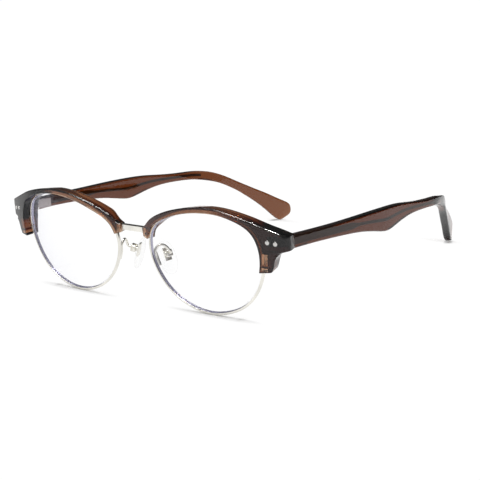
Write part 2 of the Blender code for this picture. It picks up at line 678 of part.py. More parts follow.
class HingePlan:
    """Where a hinge stands: its axis, the brow piece's back face, the temple's inner face and the floor."""

    def __init__(self, eye, first, last, floor):
        top, bottom = end_corner(eye, first, last)
        self.height = (top[1] + bottom[1]) / 2
        self.edge = min(top[0], bottom[0])
        self.back_depth = BROW_END_BACK
        self.floor = float(floor)
        corner = place((self.edge, self.height), self.back_depth)[0]
        self.outer_x = corner[0] - TEMPLE_INSET
        self.inner_x = self.outer_x - TEMPLE_THICKNESS
        self.x = self.inner_x - KNUCKLE_RADIUS - HINGE_OFFSET
        self.face = frame_at((self.x, self.height))
        self.on_back = place((self.x, self.height), self.back_depth)[0]
        self.start_y = self.on_back[1] + HINGE_OFFSET
        self.axis = np.array([0.0, math.sin(TEMPLE_SLOPE), math.cos(TEMPLE_SLOPE)])
        self.point = np.array([self.x, self.on_back[1], self.height])
        back = self.face[1]
        short = KNUCKLE_RADIUS + HINGE_OFFSET - back @ (self.point - self.on_back)
        self.point[1] += short / back[1]

    def back_y(self, points):
        """Y of the brow piece's back face before or behind the points."""
        flat = points[:, [0, 2]]
        flat = flat - face_normal(*flat.T)[:, [0, 2]] * self.back_depth
        return place(flat, self.back_depth)[:, 1]


def make_hinge(side, plan, brow, temple_joint):
    """The two hinge leaves with their knuckles, and the hinge screw."""
    pitch = KNUCKLE_HEIGHT + KNUCKLE_GAP
    across = np.array([1.0, 0.0, 0.0])
    axes = np.array([across, np.cross(plan.axis, across), plan.axis])
    plate_low = (-FRONT_LEAF_INWARD, -LEAF_THICKNESS, -LEAF_HEIGHT / 2)
    plate_high = (FRONT_LEAF_OUTWARD, 0.0, LEAF_HEIGHT / 2)
    leaf = side.piece("front_hinge_leaf", box_in(plan.on_back, plan.face, plate_low, plate_high), "metal")
    reach = plan.point[1] - plan.on_back[1]
    barrel = [(KNUCKLE_RADIUS, -KNUCKLE_HEIGHT / 2), (KNUCKLE_RADIUS, KNUCKLE_HEIGHT / 2)]
    bore_radius = HINGE_SCREW_RADIUS + SCREW_GAP
    bore = turned_rings([(bore_radius, -2 * pitch), (bore_radius, 2 * pitch)], plan.point, plan.axis)
    for number, place_at in (("low", -pitch), ("high", pitch)):
        centre = plan.point + plan.axis * place_at
        side.shape(leaf, f"knuckle_{number}", turned_rings(barrel, centre, plan.axis), "UNION")
        neck_low = (-NECK_WIDTH / 2, -reach - NECK_SUNK, -NECK_HEIGHT / 2)
        neck_high = (NECK_WIDTH / 2, 0.0, NECK_HEIGHT / 2)
        side.shape(leaf, f"neck_{number}", box_in(centre, axes, neck_low, neck_high), "UNION")
    side.shape(leaf, "bore", bore)
    grow = np.array([FIT_GAP, FIT_GAP, FIT_GAP])
    pocket_high = np.array(plate_high) + grow
    pocket_high[1] = OVERRUN
    pocket = box_in(plan.on_back, plan.face, np.array(plate_low) - grow, pocket_high)
    side.shape(brow, "leaf_pocket", pocket)

    inside = plan.inner_x - plan.x
    plate_low = (inside, 0.0, -LEAF_HEIGHT / 2)
    plate_high = (inside + LEAF_THICKNESS, TEMPLE_LEAF_LENGTH, LEAF_HEIGHT / 2)
    leaf = side.piece("temple_hinge_leaf", box_in(plan.point, axes, plate_low, plate_high), "metal", temple_joint)
    neck_low = (0.0, -TEMPLE_NECK_FRONT, -NECK_HEIGHT / 2)
    neck_high = (inside + LEAF_THICKNESS / 2, NECK_WIDTH / 2, NECK_HEIGHT / 2)
    side.shape(leaf, "knuckle", turned_rings(barrel, plan.point, plan.axis), "UNION")
    side.shape(leaf, "neck", box_in(plan.point, axes, neck_low, neck_high), "UNION")
    side.shape(leaf, "bore", bore)

    head = pitch + KNUCKLE_HEIGHT / 2 + SEAT_GAP
    profile = [(HINGE_SCREW_RADIUS, -head), (HINGE_SCREW_RADIUS, head), (HINGE_SCREW_HEAD_RADIUS, head),
               (HINGE_SCREW_HEAD_RADIUS, head + HINGE_SCREW_HEAD)]
    side.piece("hinge_screw", turned_rings(profile, plan.point, plan.axis), "metal")
    return plate_low, plate_high, axes


def make_studs(side, plan, brow):
    """The two round studs in the brow piece's end, seated on the hinge leaf."""
    front = -RIM_DEPTH / 2 - BROW_END_LIP
    for name, inward, rise in (("outer", STUD_EDGE, STUD_RISE),
                               ("inner", STUD_EDGE + STUD_SPACING, STUD_INNER_RISE)):
        spot = (plan.edge - inward, plan.height + rise)
        start = place(spot, front - STUD_PROUD)[0]
        back = plan.face[1]
        leaf = plan.on_back - back * (LEAF_THICKNESS + FIT_GAP)
        length = (leaf - start) @ back - SEAT_GAP
        profile = [(STUD_RADIUS - STUD_PROUD, 0.0), (STUD_RADIUS, STUD_PROUD), (STUD_RADIUS, STUD_HEAD),
                   (STUD_SHANK_RADIUS, STUD_HEAD), (STUD_SHANK_RADIUS, length)]
        side.piece(f"stud_{name}", turned_rings(profile, start, back), "metal")
        hole = [(STUD_RADIUS + SCREW_GAP, -OVERRUN), (STUD_RADIUS + SCREW_GAP, STUD_HEAD + SEAT_GAP),
                (STUD_SHANK_RADIUS + SCREW_GAP, STUD_HEAD + SEAT_GAP),
                (STUD_SHANK_RADIUS + SCREW_GAP, length + OVERRUN / 2)]
        side.shape(brow, f"stud_hole_{name}", turned_rings(hole, start, back))


def temple_stations(plan, count, start=0.0, stop=1.0):
    """Top and bottom edge points of the outer face, the inward direction and the thickness.

    Start and stop are shares of the way along both edges.
    """
    length, at = spline(TEMPLE_SHARES)
    trial = np.linspace(0.0, length, EYE_SAMPLES)
    flat = at(trial)[:, :6] * ([TEMPLE_LENGTH, plan.height] * 2 + [TEMPLE_TURN] * 2)
    gaps = sum(np.linalg.norm(np.diff(flat[:, edge], axis=0), axis=1) for edge in ([0, 1, 4], [2, 3, 5]))
    way = np.concatenate([[0.0], np.cumsum(gaps)]) / gaps.sum()
    rows = at(np.interp(np.linspace(start, stop, count), way, trial))
    rise = plan.height - plan.floor
    top, low = (
        np.stack([plan.outer_x - turn * TEMPLE_TURN, plan.start_y + run * TEMPLE_LENGTH,
                  plan.floor + np.maximum(height, 0.0) * rise], axis=1)
        for run, height, turn in (rows[:, [0, 1, 4]].T, rows[:, [2, 3, 5]].T)
    )
    ahead = np.gradient((top + low) / 2, axis=0)
    inward = np.stack([-ahead[:, 1], ahead[:, 0], np.zeros(len(ahead))], axis=1)
    inward /= np.linalg.norm(inward, axis=1, keepdims=True)
    return top, low, inward, rows[:, 6] * TEMPLE_THICKNESS


def make_temple(side, plan, joint, leaf_box):
    """The temple, its mitred front end, and the channel and pocket cut into it."""
    top, low, inward, thick = temple_stations(plan, TEMPLE_STEPS)
    tall = np.linalg.norm(top - low, axis=1)
    up = (top - low) / tall[:, None]
    corner = np.minimum(TEMPLE_CORNER, np.minimum(tall, thick) * TEMPLE_CORNER_SHARE)
    cut = corner * (1 - math.sqrt(0.5))
    zero = np.zeros_like(tall)
    rows = []
    for over, rise in ((zero, corner), (cut, cut), (corner, zero)):
        rows.append((over, rise))
    rows += [(thick - over, rise) for over, rise in reversed(rows)]
    rows += [(over, tall - rise) for over, rise in reversed(rows)]
    rings = np.stack([low + inward * over[:, None] + up * rise[:, None] for over, rise in rows], axis=1)
    front = rings[0]
    front[:, 1] = plan.back_y(front) + TEMPLE_MITRE_GAP
    temple = side.piece("temple", rings, "acetate", joint)

    core = core_rings(plan, 0.0)
    side.piece("core_wire", core, "metal", joint)
    channel = core_rings(plan, FIT_GAP, opened=True)
    side.shape(temple, "channel", channel)
    plate_low, plate_high, axes = leaf_box
    low_corner = np.array(plate_low) - FIT_GAP
    high_corner = np.array(plate_high) + FIT_GAP
    low_corner[:2] = plate_low[0] - OVERRUN, -KNUCKLE_RADIUS - OVERRUN
    side.shape(temple, "leaf_pocket", box_in(plan.point, axes, low_corner, high_corner))


def core_rings(plan, grow, opened=False):
    """Rings of the core wire: a flat strip that draws down to a round wire."""
    top, low, inward, thick = temple_stations(plan, CORE_STEPS, CORE_START_SHARE, CORE_END_SHARE)
    share = np.linspace(CORE_START_SHARE, CORE_END_SHARE, CORE_STEPS)
    flat = np.clip((CORE_NECK_SHARES[1] - share) / (CORE_NECK_SHARES[1] - CORE_NECK_SHARES[0]), 0.0, 1.0)
    half_tall = (CORE_WIRE + (CORE_HEIGHT - CORE_WIRE) * flat) / 2 + grow
    half_wide = (CORE_WIRE + (CORE_FLAT - CORE_WIRE) * flat) / 2 + grow
    up = (top - low) / np.linalg.norm(top - low, axis=1, keepdims=True)
    middle = (top + low) / 2 + inward * (thick * CORE_DEPTH_SHARE)[:, None]
    if opened:
        step = middle[0] - middle[1]
        middle[0] += step / np.linalg.norm(step) * (CORE_START_SHARE * TEMPLE_LENGTH + 2 * OVERRUN)
        step = middle[-1] - middle[-2]
        middle[-1] += step / np.linalg.norm(step) * FIT_GAP
    turn = (np.arange(WIRE_SIDES) + 0.5) * math.tau / WIRE_SIDES
    scale = 1 / math.cos(math.pi / WIRE_SIDES)
    across = np.clip(np.cos(turn) * scale, -1.0, 1.0)
    along = np.clip(np.sin(turn) * scale, -1.0, 1.0)
    return (middle[:, None] + inward[:, None] * (half_wide[:, None] * across)[..., None]
            + up[:, None] * (half_tall[:, None] * along)[..., None])


class PadPlan:
    """Where a nose pad and its box stand: axes are along the screw, along the pad, and to the skin."""

    def __init__(self):
        skin_side = unit((-1.0, math.tan(PAD_SPLAY), -math.tan(PAD_FLARE)))
        upward = np.array([-math.tan(PAD_FLARE), 0.0, 1.0])
        upward = unit(upward - skin_side * (upward @ skin_side))
        screw = np.cross(upward, skin_side)
        if screw[1] > 0:
            screw = -screw
        self.axes = np.array([screw, upward, skin_side])
        spot = (LENS_GAP / 2 + PAD_BOX_OUT, EYE_Z - PAD_BOX_DROP)
        behind = place(spot, RIM_DEPTH / 2)[0]
        self.box = behind + np.array([0.0, PAD_BOX_BEHIND, 0.0])
        self.pad = self.box + skin_side * (PAD_STANDOFF + PAD_THICKNESS / 2) - upward * PAD_LOWERED


def make_pad(side, eye, plan, joint):
    """The pad arm and its box on the rim, the pad with its insert, and the pad screw."""
    wide, tall, deep = PAD_BOX_SIZE
    size = np.array([wide, tall, deep]) / 2
    shift = PAD_STANDOFF * PAD_BOX_SHARE - size[2]
    box_centre = plan.box + plan.axes[2] * shift
    box = side.piece("pad_box", box_in(box_centre, plan.axes, -size, size), "metal")
    slot = PAD_TAB_WIDTH / 2 + FIT_GAP
    slot_box = box_in(box_centre, plan.axes, (-slot, -tall, -size[2] + PAD_SLOT_BASE), (slot, tall, deep))
    side.shape(box, "slot", slot_box)
    screw_start = plan.box + plan.axes[0] * (wide / 2 + SEAT_GAP + PAD_SCREW_HEAD)
    length = PAD_SCREW_HEAD + SEAT_GAP + wide
    profile = [(PAD_SCREW_HEAD_RADIUS, 0.0), (PAD_SCREW_HEAD_RADIUS, PAD_SCREW_HEAD),
               (PAD_SCREW_RADIUS, PAD_SCREW_HEAD), (PAD_SCREW_RADIUS, length)]
    side.piece("pad_screw", turned_rings(profile, screw_start, -plan.axes[0]), "metal")
    bore_radius = PAD_SCREW_RADIUS + SCREW_GAP
    bore = turned_rings([(bore_radius, 0.0), (bore_radius, length + OVERRUN)], screw_start, -plan.axes[0])
    side.shape(box, "bore", bore)

    turn = np.arange(PAD_SIDES) * math.tau / PAD_SIDES
    power = 2 / PAD_SQUARENESS
    wave = np.sign(np.cos(turn)) * np.abs(np.cos(turn)) ** power
    rise = np.sign(np.sin(turn)) * np.abs(np.sin(turn)) ** power
    rings = [
        plan.pad + plan.axes[0] * (wave * share * PAD_WIDTH / 2)[:, None]
        + plan.axes[1] * (rise * share * PAD_LENGTH / 2)[:, None] + plan.axes[2] * level * PAD_THICKNESS / 2
        for share, level in PAD_RING_SHARES
    ]
    pad = side.piece("nose_pad", rings, "silicone", joint)
    sunk = PAD_STANDOFF + PAD_PLATE_SUNK
    plate = np.array([PAD_PLATE[0] / 2, PAD_PLATE[1] / 2, 0.0])
    insert = side.piece("pad_insert", box_in(plan.box, plan.axes, -plate + (0.0, 0.0, sunk),
                                             plate + (0.0, 0.0, sunk + PAD_PLATE[2])), "metal", joint)
    tab = np.array([PAD_TAB_WIDTH / 2, PAD_TAB_LENGTH / 2, 0.0])
    tab_box = box_in(plan.box, plan.axes, -tab - (0.0, 0.0, PAD_TAB_REACH),
                     tab + (0.0, 0.0, sunk + PAD_PLATE[2] / 2))
    side.shape(insert, "tab", tab_box, "UNION")
    side.shape(insert, "bore", bore)
    pocket = plate + FIT_GAP
    side.shape(pad, "pocket", box_in(plan.box, plan.axes, (-pocket[0], -pocket[1], 0.0),
                                     (pocket[0], pocket[1], sunk + PAD_PLATE[2] + FIT_GAP)))

    leg = [nasal_point(eye, z) for z in np.linspace(EYE_Z - ARM_FOOT_DROP, EYE_Z + ARM_LEG_TOP, ARM_LEG_STEPS)]
    leg = place(leg, RIM_DEPTH / 2 + ARM_RADIUS + SEAT_GAP)
    end = box_centre - plan.axes[2] * (size[2] + FIT_GAP)
    span = np.array([ARM_BULGE, (end - leg[-1])[1], ARM_RISE])
    knots = [*leg, *(leg[-1] + np.array(ARM_PATH_SHARES) * span)]
    knots += [end - plan.axes[2] * ARM_STRAIGHT, end - plan.axes[2] * ARM_STRAIGHT / 2, end]
    length, at = spline(knots)
    side.piece("pad_arm", tube_rings(at(np.linspace(0.0, length, ARM_STEPS)), ARM_RADIUS, (1.0, 0.0, 0.0)), "metal")


def nasal_point(eye, height):
    """The rim's middle on the nose side at a height, as (x, z)."""
    nose = eye.line[:, 0] < EYE_X
    order = np.argsort(eye.line[nose][:, 1])
    x = np.interp(height, eye.line[nose][order, 1], eye.line[nose][order, 0])
    return np.array([x, height])


def settle(root):
    """Move the whole so that it stands on Z 0, centred on the origin."""
    bpy.context.view_layer.update()
    graph = bpy.context.evaluated_depsgraph_get()
    corners = []
    for made in bpy.data.objects:
        if made.type == "MESH" and not made.hide_render:
            ready = made.evaluated_get(graph)
            points = np.empty(len(ready.data.vertices) * 3)
            ready.data.vertices.foreach_get("co", points)
            turned = np.array(ready.matrix_world)
            points = points.reshape(-1, 3) @ turned[:3, :3].T + turned[:3, 3]
            corners += [points.min(axis=0), points.max(axis=0)]
    low, high = np.min(corners, axis=0), np.max(corners, axis=0)
    root.location = (0.0, -(low[1] + high[1]) / 2, -low[2])
    bpy.context.view_layer.update()


def main():
    clear_scene()
    finish = {
        "acetate": material("brown_acetate", (0.19, 0.085, 0.06), 0.12, transmission=0.35),
        "metal": material("silver_metal", (0.80, 0.78, 0.74), 0.22, metallic=1.0),
        "lens": material("clear_lens", (0.93, 0.95, 0.98), 0.03, transmission=0.95, alpha=0.35),
        "silicone": material("clear_silicone", (0.92, 0.92, 0.90), 0.25, transmission=0.8, alpha=0.6),
    }
    root = bpy.data.objects.new("eyeglasses", None)
    bpy.context.scene.collection.objects.link(root)
    eye = EyeLine()
    first = eye.share_at(EYE_Z + BROW_FOOT_RISE, nasal=True)
    last = eye.share_at(EYE_Z - BROW_LEG_DROP, nasal=False)
    split = eye.share_at(EYE_Z + RIM_SPLIT_RISE, nasal=False)
    rim = rim_columns(eye, split)
    hinge = HingePlan(eye, first, last, rim[..., 2].min())
    pad = PadPlan()
    whole, bridge = make_bridge(root, finish, eye, first)
    for name, sign in (("left", 1.0), ("right", -1.0)):
        side = Side(name, sign, root, finish)
        brow = make_brow(side, eye, first, last)
        side.piece("rim", rim, "metal")
        make_lens(side, eye, split)
        make_closing(side, eye, split, brow)
        make_brow_screw(side, eye, first, brow, bridge, whole)
        temple_joint = side.joint("temple_hinge", hinge.point, hinge.axis)
        leaf_box = make_hinge(side, hinge, brow, temple_joint)
        make_studs(side, hinge, brow)
        make_temple(side, hinge, temple_joint, leaf_box)
        pad_joint = side.joint("pad_pivot", pad.box, pad.axes[0])
        make_pad(side, eye, pad, pad_joint)
    settle(root)


main()
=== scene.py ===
"""Semi-rimless (browline) eyeglasses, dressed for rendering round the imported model.

Every piece is a surface worked out with numpy in the model's own metres, +Z up, the front facing -Y.
Each half is worked out for the wearer's left (+X) and mirrored for the right.
"""

import math

import bmesh
import bpy
import numpy as np
from mathutils import Matrix


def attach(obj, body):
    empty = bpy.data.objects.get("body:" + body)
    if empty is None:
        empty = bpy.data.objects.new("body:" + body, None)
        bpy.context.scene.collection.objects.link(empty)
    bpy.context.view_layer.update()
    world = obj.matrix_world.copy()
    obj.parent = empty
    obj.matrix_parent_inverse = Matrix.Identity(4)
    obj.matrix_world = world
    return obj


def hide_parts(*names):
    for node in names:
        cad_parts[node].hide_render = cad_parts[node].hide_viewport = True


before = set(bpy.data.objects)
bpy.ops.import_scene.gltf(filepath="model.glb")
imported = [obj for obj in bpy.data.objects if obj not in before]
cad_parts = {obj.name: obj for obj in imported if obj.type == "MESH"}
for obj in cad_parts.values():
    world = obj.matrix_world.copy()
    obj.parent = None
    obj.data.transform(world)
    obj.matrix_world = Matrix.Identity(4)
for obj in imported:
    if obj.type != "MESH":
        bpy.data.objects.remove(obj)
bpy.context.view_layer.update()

bl_info = {
    "name": "Browline Eyeglasses",
    "version": (1, 0, 0),
    "blender": (4, 5, 0),
    "location": "3D View > Sidebar > Eyeglasses",
    "description": "Dress the packed eyeglasses model with fine pieces and finishes",
    "category": "Object",
}

# The strip that reflections show: the way to its middle and the way that it runs
STRIP_WAY = np.array([-0.15, -0.29, 0.93])
STRIP_ALONG = np.array([0.68, -0.18, 0.12])

# Where the strip fades at its edges and below, the walls turn dusky and the ceiling starts
STRIP_EDGE_SHARES, STRIP_LOW_SHARES = (0.6, 1.3), (0.1, 0.2)
DUSK_SHARES, CEILING_SHARES = (-0.1, 0.4), (0.6, 1.0)

# The camera's place and its right, up and backward ways, worked out from mirrored points in the photograph
CAMERA_SPOT = np.array([0.3548406, -0.3272041, 0.1318287])
CAMERA_AXES = np.array([(0.74414414, 0.66544246, -0.05861589), (-0.10684698, 0.20517997, 0.97287456),
                        (0.65941885, -0.71769597, 0.22378399)])

SENSOR_WIDTH = 36.0
CAMERA_CLIP = (0.01, 100.0)

# Where a temple's tip stands, out from the middle and back
TIP_SPOT = (0.047, 0.064)

# How far the model's centre lies from the point that the shapes are worked out from
CENTRE_SHIFT = np.array([0.0, -0.07002174, 0.00011762])
HALVES = (("left", 1.0), ("right", -1.0))

# The lens outline across and up, from the nose side over the top, in shares of its width and height
LENS_OUTLINE_SHARES = (
    (-0.499, 0.067), (-0.460, 0.250), (-0.321, 0.383), (-0.102, 0.478), (0.096, 0.502), (0.309, 0.462),
    (0.454, 0.350), (0.502, 0.165), (0.482, -0.035), (0.426, -0.209), (0.312, -0.375), (0.175, -0.463),
    (-0.003, -0.501), (-0.180, -0.458), (-0.329, -0.353), (-0.451, -0.158),
)
# Way along the brow, and share of the way from its low to its high reach
BROW_FOOT_SHARES = ((0.031, 1.0), (0.043, 0.76), (0.086, 0.45), (0.159, 0.28), (0.231, 0.18), (0.316, 0.07))
BROW_END_SHARES = ((0.428, 0.015), (0.50, 0.02), (0.594, 0.025), (0.67, 0.04), (0.749, 0.117),
                   (0.809, 0.362), (0.845, 0.752), (0.862, 1.0))
BROW_LEG_SHARES = ((0.9025, 1.0), (0.9068, 0.51), (0.919, 0.225), (0.936, 0.08), (0.963, 0.01), (1.0, 0.0))
BROW_FOOT_SHARE, BROW_END_SHARE, BROW_END_LOW_SHARE = 0.031, 0.862, 0.9025
# Way along the brow, and share of the cover
BROW_COVER_SHARES = ((0.05, 0.0), (0.2, 1.0), (0.5, 1.0), (0.6, 0.5), (0.7, 0.25), (1.0, 0.25))
# Ways along the brow between which its depth swells to the end's, and its foot's back to the full one
BROW_SWELL_SHARES = (0.50, 0.74)
BROW_FOOT_BACK_SHARES = (0.04, 0.12)
# How far past the end's corners its wider bevel runs out
BROW_BEVEL_SPREAD_SHARE = 0.013
# Run, height of the top edge; run, height of the bottom edge; turn inwards of both; thickness
TEMPLE_SHARES = (
    (0.000, 1.066, 0.000, 0.905, 0.000, 0.000, 1.00),
    (0.075, 1.060, 0.075, 0.908, -0.034, -0.034, 1.00),
    (0.191, 1.050, 0.191, 0.886, -0.052, -0.052, 0.98),
    (0.303, 1.047, 0.303, 0.836, -0.044, -0.044, 0.96),
    (0.374, 1.044, 0.372, 0.772, -0.030, -0.030, 0.95),
    (0.410, 1.040, 0.408, 0.748, -0.018, -0.018, 0.95),
    (0.449, 1.034, 0.446, 0.772, 0.000, 0.000, 0.94),
    (0.525, 1.003, 0.525, 0.836, 0.036, 0.036, 0.92),
    (0.612, 0.957, 0.606, 0.842, 0.069, 0.077, 0.90),
    (0.680, 0.938, 0.675, 0.821, 0.109, 0.129, 0.88),
    (0.722, 0.917, 0.713, 0.793, 0.165, 0.201, 0.87),
    (0.756, 0.884, 0.746, 0.755, 0.241, 0.273, 0.86),
    (0.790, 0.818, 0.776, 0.706, 0.353, 0.337, 0.85),
    (0.821, 0.731, 0.804, 0.640, 0.465, 0.397, 0.84),
    (0.851, 0.644, 0.829, 0.564, 0.565, 0.473, 0.83),
    (0.883, 0.557, 0.853, 0.473, 0.649, 0.549, 0.82),
    (0.917, 0.470, 0.877, 0.376, 0.733, 0.625, 0.81),
    (0.948, 0.383, 0.902, 0.268, 0.813, 0.697, 0.80),
    (0.979, 0.296, 0.925, 0.153, 0.901, 0.765, 0.79),
    (0.998, 0.219, 0.947, 0.045, 0.957, 0.825, 0.76),
    (1.000, 0.118, 0.965, 0.000, 0.981, 0.869, 0.68),
    (0.993, 0.045, 0.978, 0.000, 0.973, 0.917, 0.45),
)
# The most of a temple's height or thickness that its rounding takes
TEMPLE_CORNER_SHARE = 0.45
# Where along the temple the core starts and ends, how deep it lies, and where wire has become strip
CORE_START_SHARE, CORE_END_SHARE, CORE_DEPTH_SHARE = 0.02, 0.66, 0.46
CORE_NECK_SHARES = (0.26, 0.22)
# Out, back and up from the top of the arm's leg
ARM_PATH_SHARES = ((0.04, 0.13, 0.62), (0.34, 0.39, 1.0), (0.62, 0.60, 0.65), (0.89, 0.79, -0.29))
# How far from its screw to the pad's back the box reaches
PAD_BOX_SHARE = 0.65
# The most of a side that the rounding of a corner takes
SHORT_OF_HALF = 0.45
# How much of the wider bevel at the end its own edges are eased by
END_EASE_SHARE = 0.6
# Where the countersink lies down the upper block, and the window's two ends down the lower one
SPOT_SHARE = 0.62
WINDOW_SHARES = (0.25, 0.58)
# How much of the outline, from its start, takes in the temple side
TEMPLE_SIDE_SHARE = 0.75
# Share of the radius that a closed end draws in to, and the power by which a pad swells from there
TIP_SHARE = 0.02
PAD_ROUND_POWER = 0.55
# A stud's dome: its middle ring, its edge, and its rise
DOME_MIDDLE_SHARE, DOME_EDGE_SHARE, DOME_RISE_SHARE = 0.1, 0.95, 0.6

# How strongly each acetate absorbs; tone, roughness, grain and inner tone of each metal, where the inner tone
# is a painted reflection of the lens coating and painted shade
ACETATES = {"brow acetate": 1.2, "temple acetate": 1.0}
METALS = {
    "rim silver": ("silver", 1.0, 2600.0, "coat"), "satin silver": ("silver", 1.0, 2600.0),
    "polished steel": ("steel", 0.6, 4200.0), "bright steel": ("silver", 1.0, 4200.0),
    "dull leaf steel": ("leaf", 1.6, 1800.0), "dull core steel": ("core", 1.6, 1800.0),
}
METAL_WEAR, METAL_SHINE = 0.12, 1.05

EYE_SAMPLES = 1440
RIM_STEPS = 320
BROW_STEPS = 46
TEMPLE_STEPS = 150
WIRE_STEPS = 90
LENS_ROWS = 14
ROUND_SIDES = 48
CORNER_STEPS, BAR_CORNER_STEPS, BROW_CORNER_STEPS, TEMPLE_CORNER_STEPS = 4, 5, 7, 9
BAR_EDGE_STEPS = 6
FOOT_STEPS, END_STEPS, LEG_STEPS, LUG_STEPS, DOME_STEPS = 10, 14, 4, 5, 5
WIRE_SIDES, CORE_SIDES, PAD_SIDES = 24, 32, 72
PAD_ROWS = 26
SMOOTH_ANGLE = math.radians(38.0)

# Room at a seat, how far a cutter runs past what it cuts, and the least rounding of an edge
SEAT_GAP = 0.00005
OVERRUN = 0.001
SHARP = 0.00002


def length(text, metres):
    """A length that the user can change."""
    return bpy.props.FloatProperty(description=text, default=metres, min=0.0, precision=6, subtype="DISTANCE",
                                   unit="LENGTH")


def angle(text, degrees):
    """An angle that the user can change."""
    return bpy.props.FloatProperty(description=text, default=math.radians(degrees), subtype="ANGLE",
                                   unit="ROTATION")


def amount(text, value, top=1.0):
    """A plain number that the user can change."""
    return bpy.props.FloatProperty(description=text, default=value, min=0.0, max=top)


def colour(text, rgb):
    """A colour that the user can change."""
    return bpy.props.FloatVectorProperty(description=text, default=rgb, min=0.0, max=1.0, size=3,
                                         subtype="COLOR")


class EyeSizes(bpy.types.PropertyGroup):
    """Lenses and the dished face that they lie on."""

    width: length("Width at the tip of the lens edge", 0.0511)
    height: length("Height at the tip of the lens edge", 0.0368)
    gap: length("Distance between the two lenses", 0.0168)
    radius: length("Radius of the dished face", 0.105)
    lean: angle("How far the face leans back at the bottom", 6.3)
    wrap: angle("How far the face wraps round to the side", 2.77)
    thickness: length("Thickness of the lens", 0.0016)
    bevel: length("How far the bevel runs in from the lens edge", 0.00045)
    bevel_half: length("Half the thickness left on the bevel", 0.0003)
    face_inset: length("How far inside the wire's inner face the lens faces end", 0.0001)


class RimSizes(bpy.types.PropertyGroup):
    """Rim wire and the closing blocks at its split."""

    outside: length("From the lens edge out to the wire's outer face", 0.00065)
    inside: length("From the lens edge in to the wire's inner face", 0.00045)
    depth: length("Depth of the wire, front to back", 0.0017)
    corner: length("Rounding of the outer corners", 0.00038)
    slim: length("How much the wire keeps back from its seat at its front and inside", 0.0002)
    groove_half: length("Half the width of the lens groove", 0.0004)
    groove_floor: length("Where the groove's floor lies", 0.00006)
    groove_ease: length("Easing of the groove's edges", 0.00004)
    split: length("Gap at the split", 0.0003)
    split_rise: length("Height of the split over the lens centre", 0.0031)
    block_width: length("Width of the closing blocks", 0.0021)
    upper_block: length("Length of the upper closing block", 0.0030)
    lower_block: length("Length of the lower closing block", 0.0023)
    block_soft: length("Rounding of the blocks' edges", 0.0002)
    pocket_gap: length("Room round the closing blocks in the brow", 0.0001)
    window: length("How far the blocks' pocket runs on to the front", 0.0024)
    spot: length("Radius of the countersink in the upper block's face", 0.0004)
    screw: length("Radius of the closing screw", 0.00045)
    screw_head: length("Radius of the closing screw's head", 0.0008)
    screw_head_height: length("Height of the closing screw's head", 0.0004)
    slot: length("Half the width of the screw's slot", 0.00012)
    slot_depth: length("Depth of the screw's slot", 0.00018)
    screw_soft: length("Rounding of the screw's edges", 0.00008)


class BrowSizes(bpy.types.PropertyGroup):
    """Acetate brow pieces."""

    cover: length("How far the front lip hangs over the rim's face", 0.0004)
    lip: length("How far the brow stands before the rim", 0.00095)
    end_lip: length("The same at its end", 0.0029)
    back: length("Depth of the back face", 0.0033)
    foot_back: length("The same at its foot", 0.0017)
    end_back: length("The same at its end", 0.0026)
    leg_back: length("The same at the foot of the leg", 0.0014)
    band: length("Height of the brow over the lens edge", 0.00145)
    bevel: length("Bevel of the front top edge", 0.00045)
    bevel_edge: length("Easing of the front bevel's own edges", 0.00014)
    end_bevel: length("Rounding of the front edge at the end", 0.0022)
    foot_rise: length("Height of the foot's bottom over the lens centre", 0.0059)
    leg_drop: length("Depth of the leg's bottom under the lens centre", 0.0001)
    leg_lift: length("How far the leg's outer corner is lifted", 0.0003)
    foot_reach: length("Width of the foot at its top", 0.0040)
    foot_bottom: length("Width of the foot at its bottom", 0.0026)
    end_reach: length("Reach of the end's top corner", 0.0108)
    end_low_reach: length("Reach of the end's bottom corner", 0.0099)
    leg_reach: length("Width of the leg", 0.00435)
    soft: length("Rounding that polishing leaves on every edge", 0.00022)
    gap: length("Room between groove and rim", 0.00012)


class BridgeSizes(bpy.types.PropertyGroup):
    """Bridge bar and the screws through its lugs."""

    height: length("Height of the bar", 0.0021)
    thickness: length("Thickness of the bar", 0.0013)
    rise: length("Height of the bar over the lens centre", 0.0086)
    lug_drop: length("How far the lugs hang below the bar", 0.0013)
    lug_inset: length("How far the lugs start inside the brow's foot", 0.0002)
    lug_gap: length("Room between a lug and the rim", 0.00025)
    soft: length("Rounding of the bar's edges", 0.00016)
    window: length("How far the lugs' pocket runs on to the front", 0.0006)
    screw: length("Radius of the brow screw", 0.0005)
    screw_head: length("Radius of the brow screw's head", 0.00085)
    screw_head_height: length("Height of the brow screw's head", 0.0005)
    slot: length("Half the width of the screw's slot", 0.00013)
    slot_depth: length("Depth of the screw's slot", 0.00022)
    screw_soft: length("Rounding of the screw's edges", 0.0001)
    screw_bite: length("How far the brow screw passes the lug", 0.0006)
    screw_drop: length("How far the brow screw lies below the bar's middle", 0.0010)


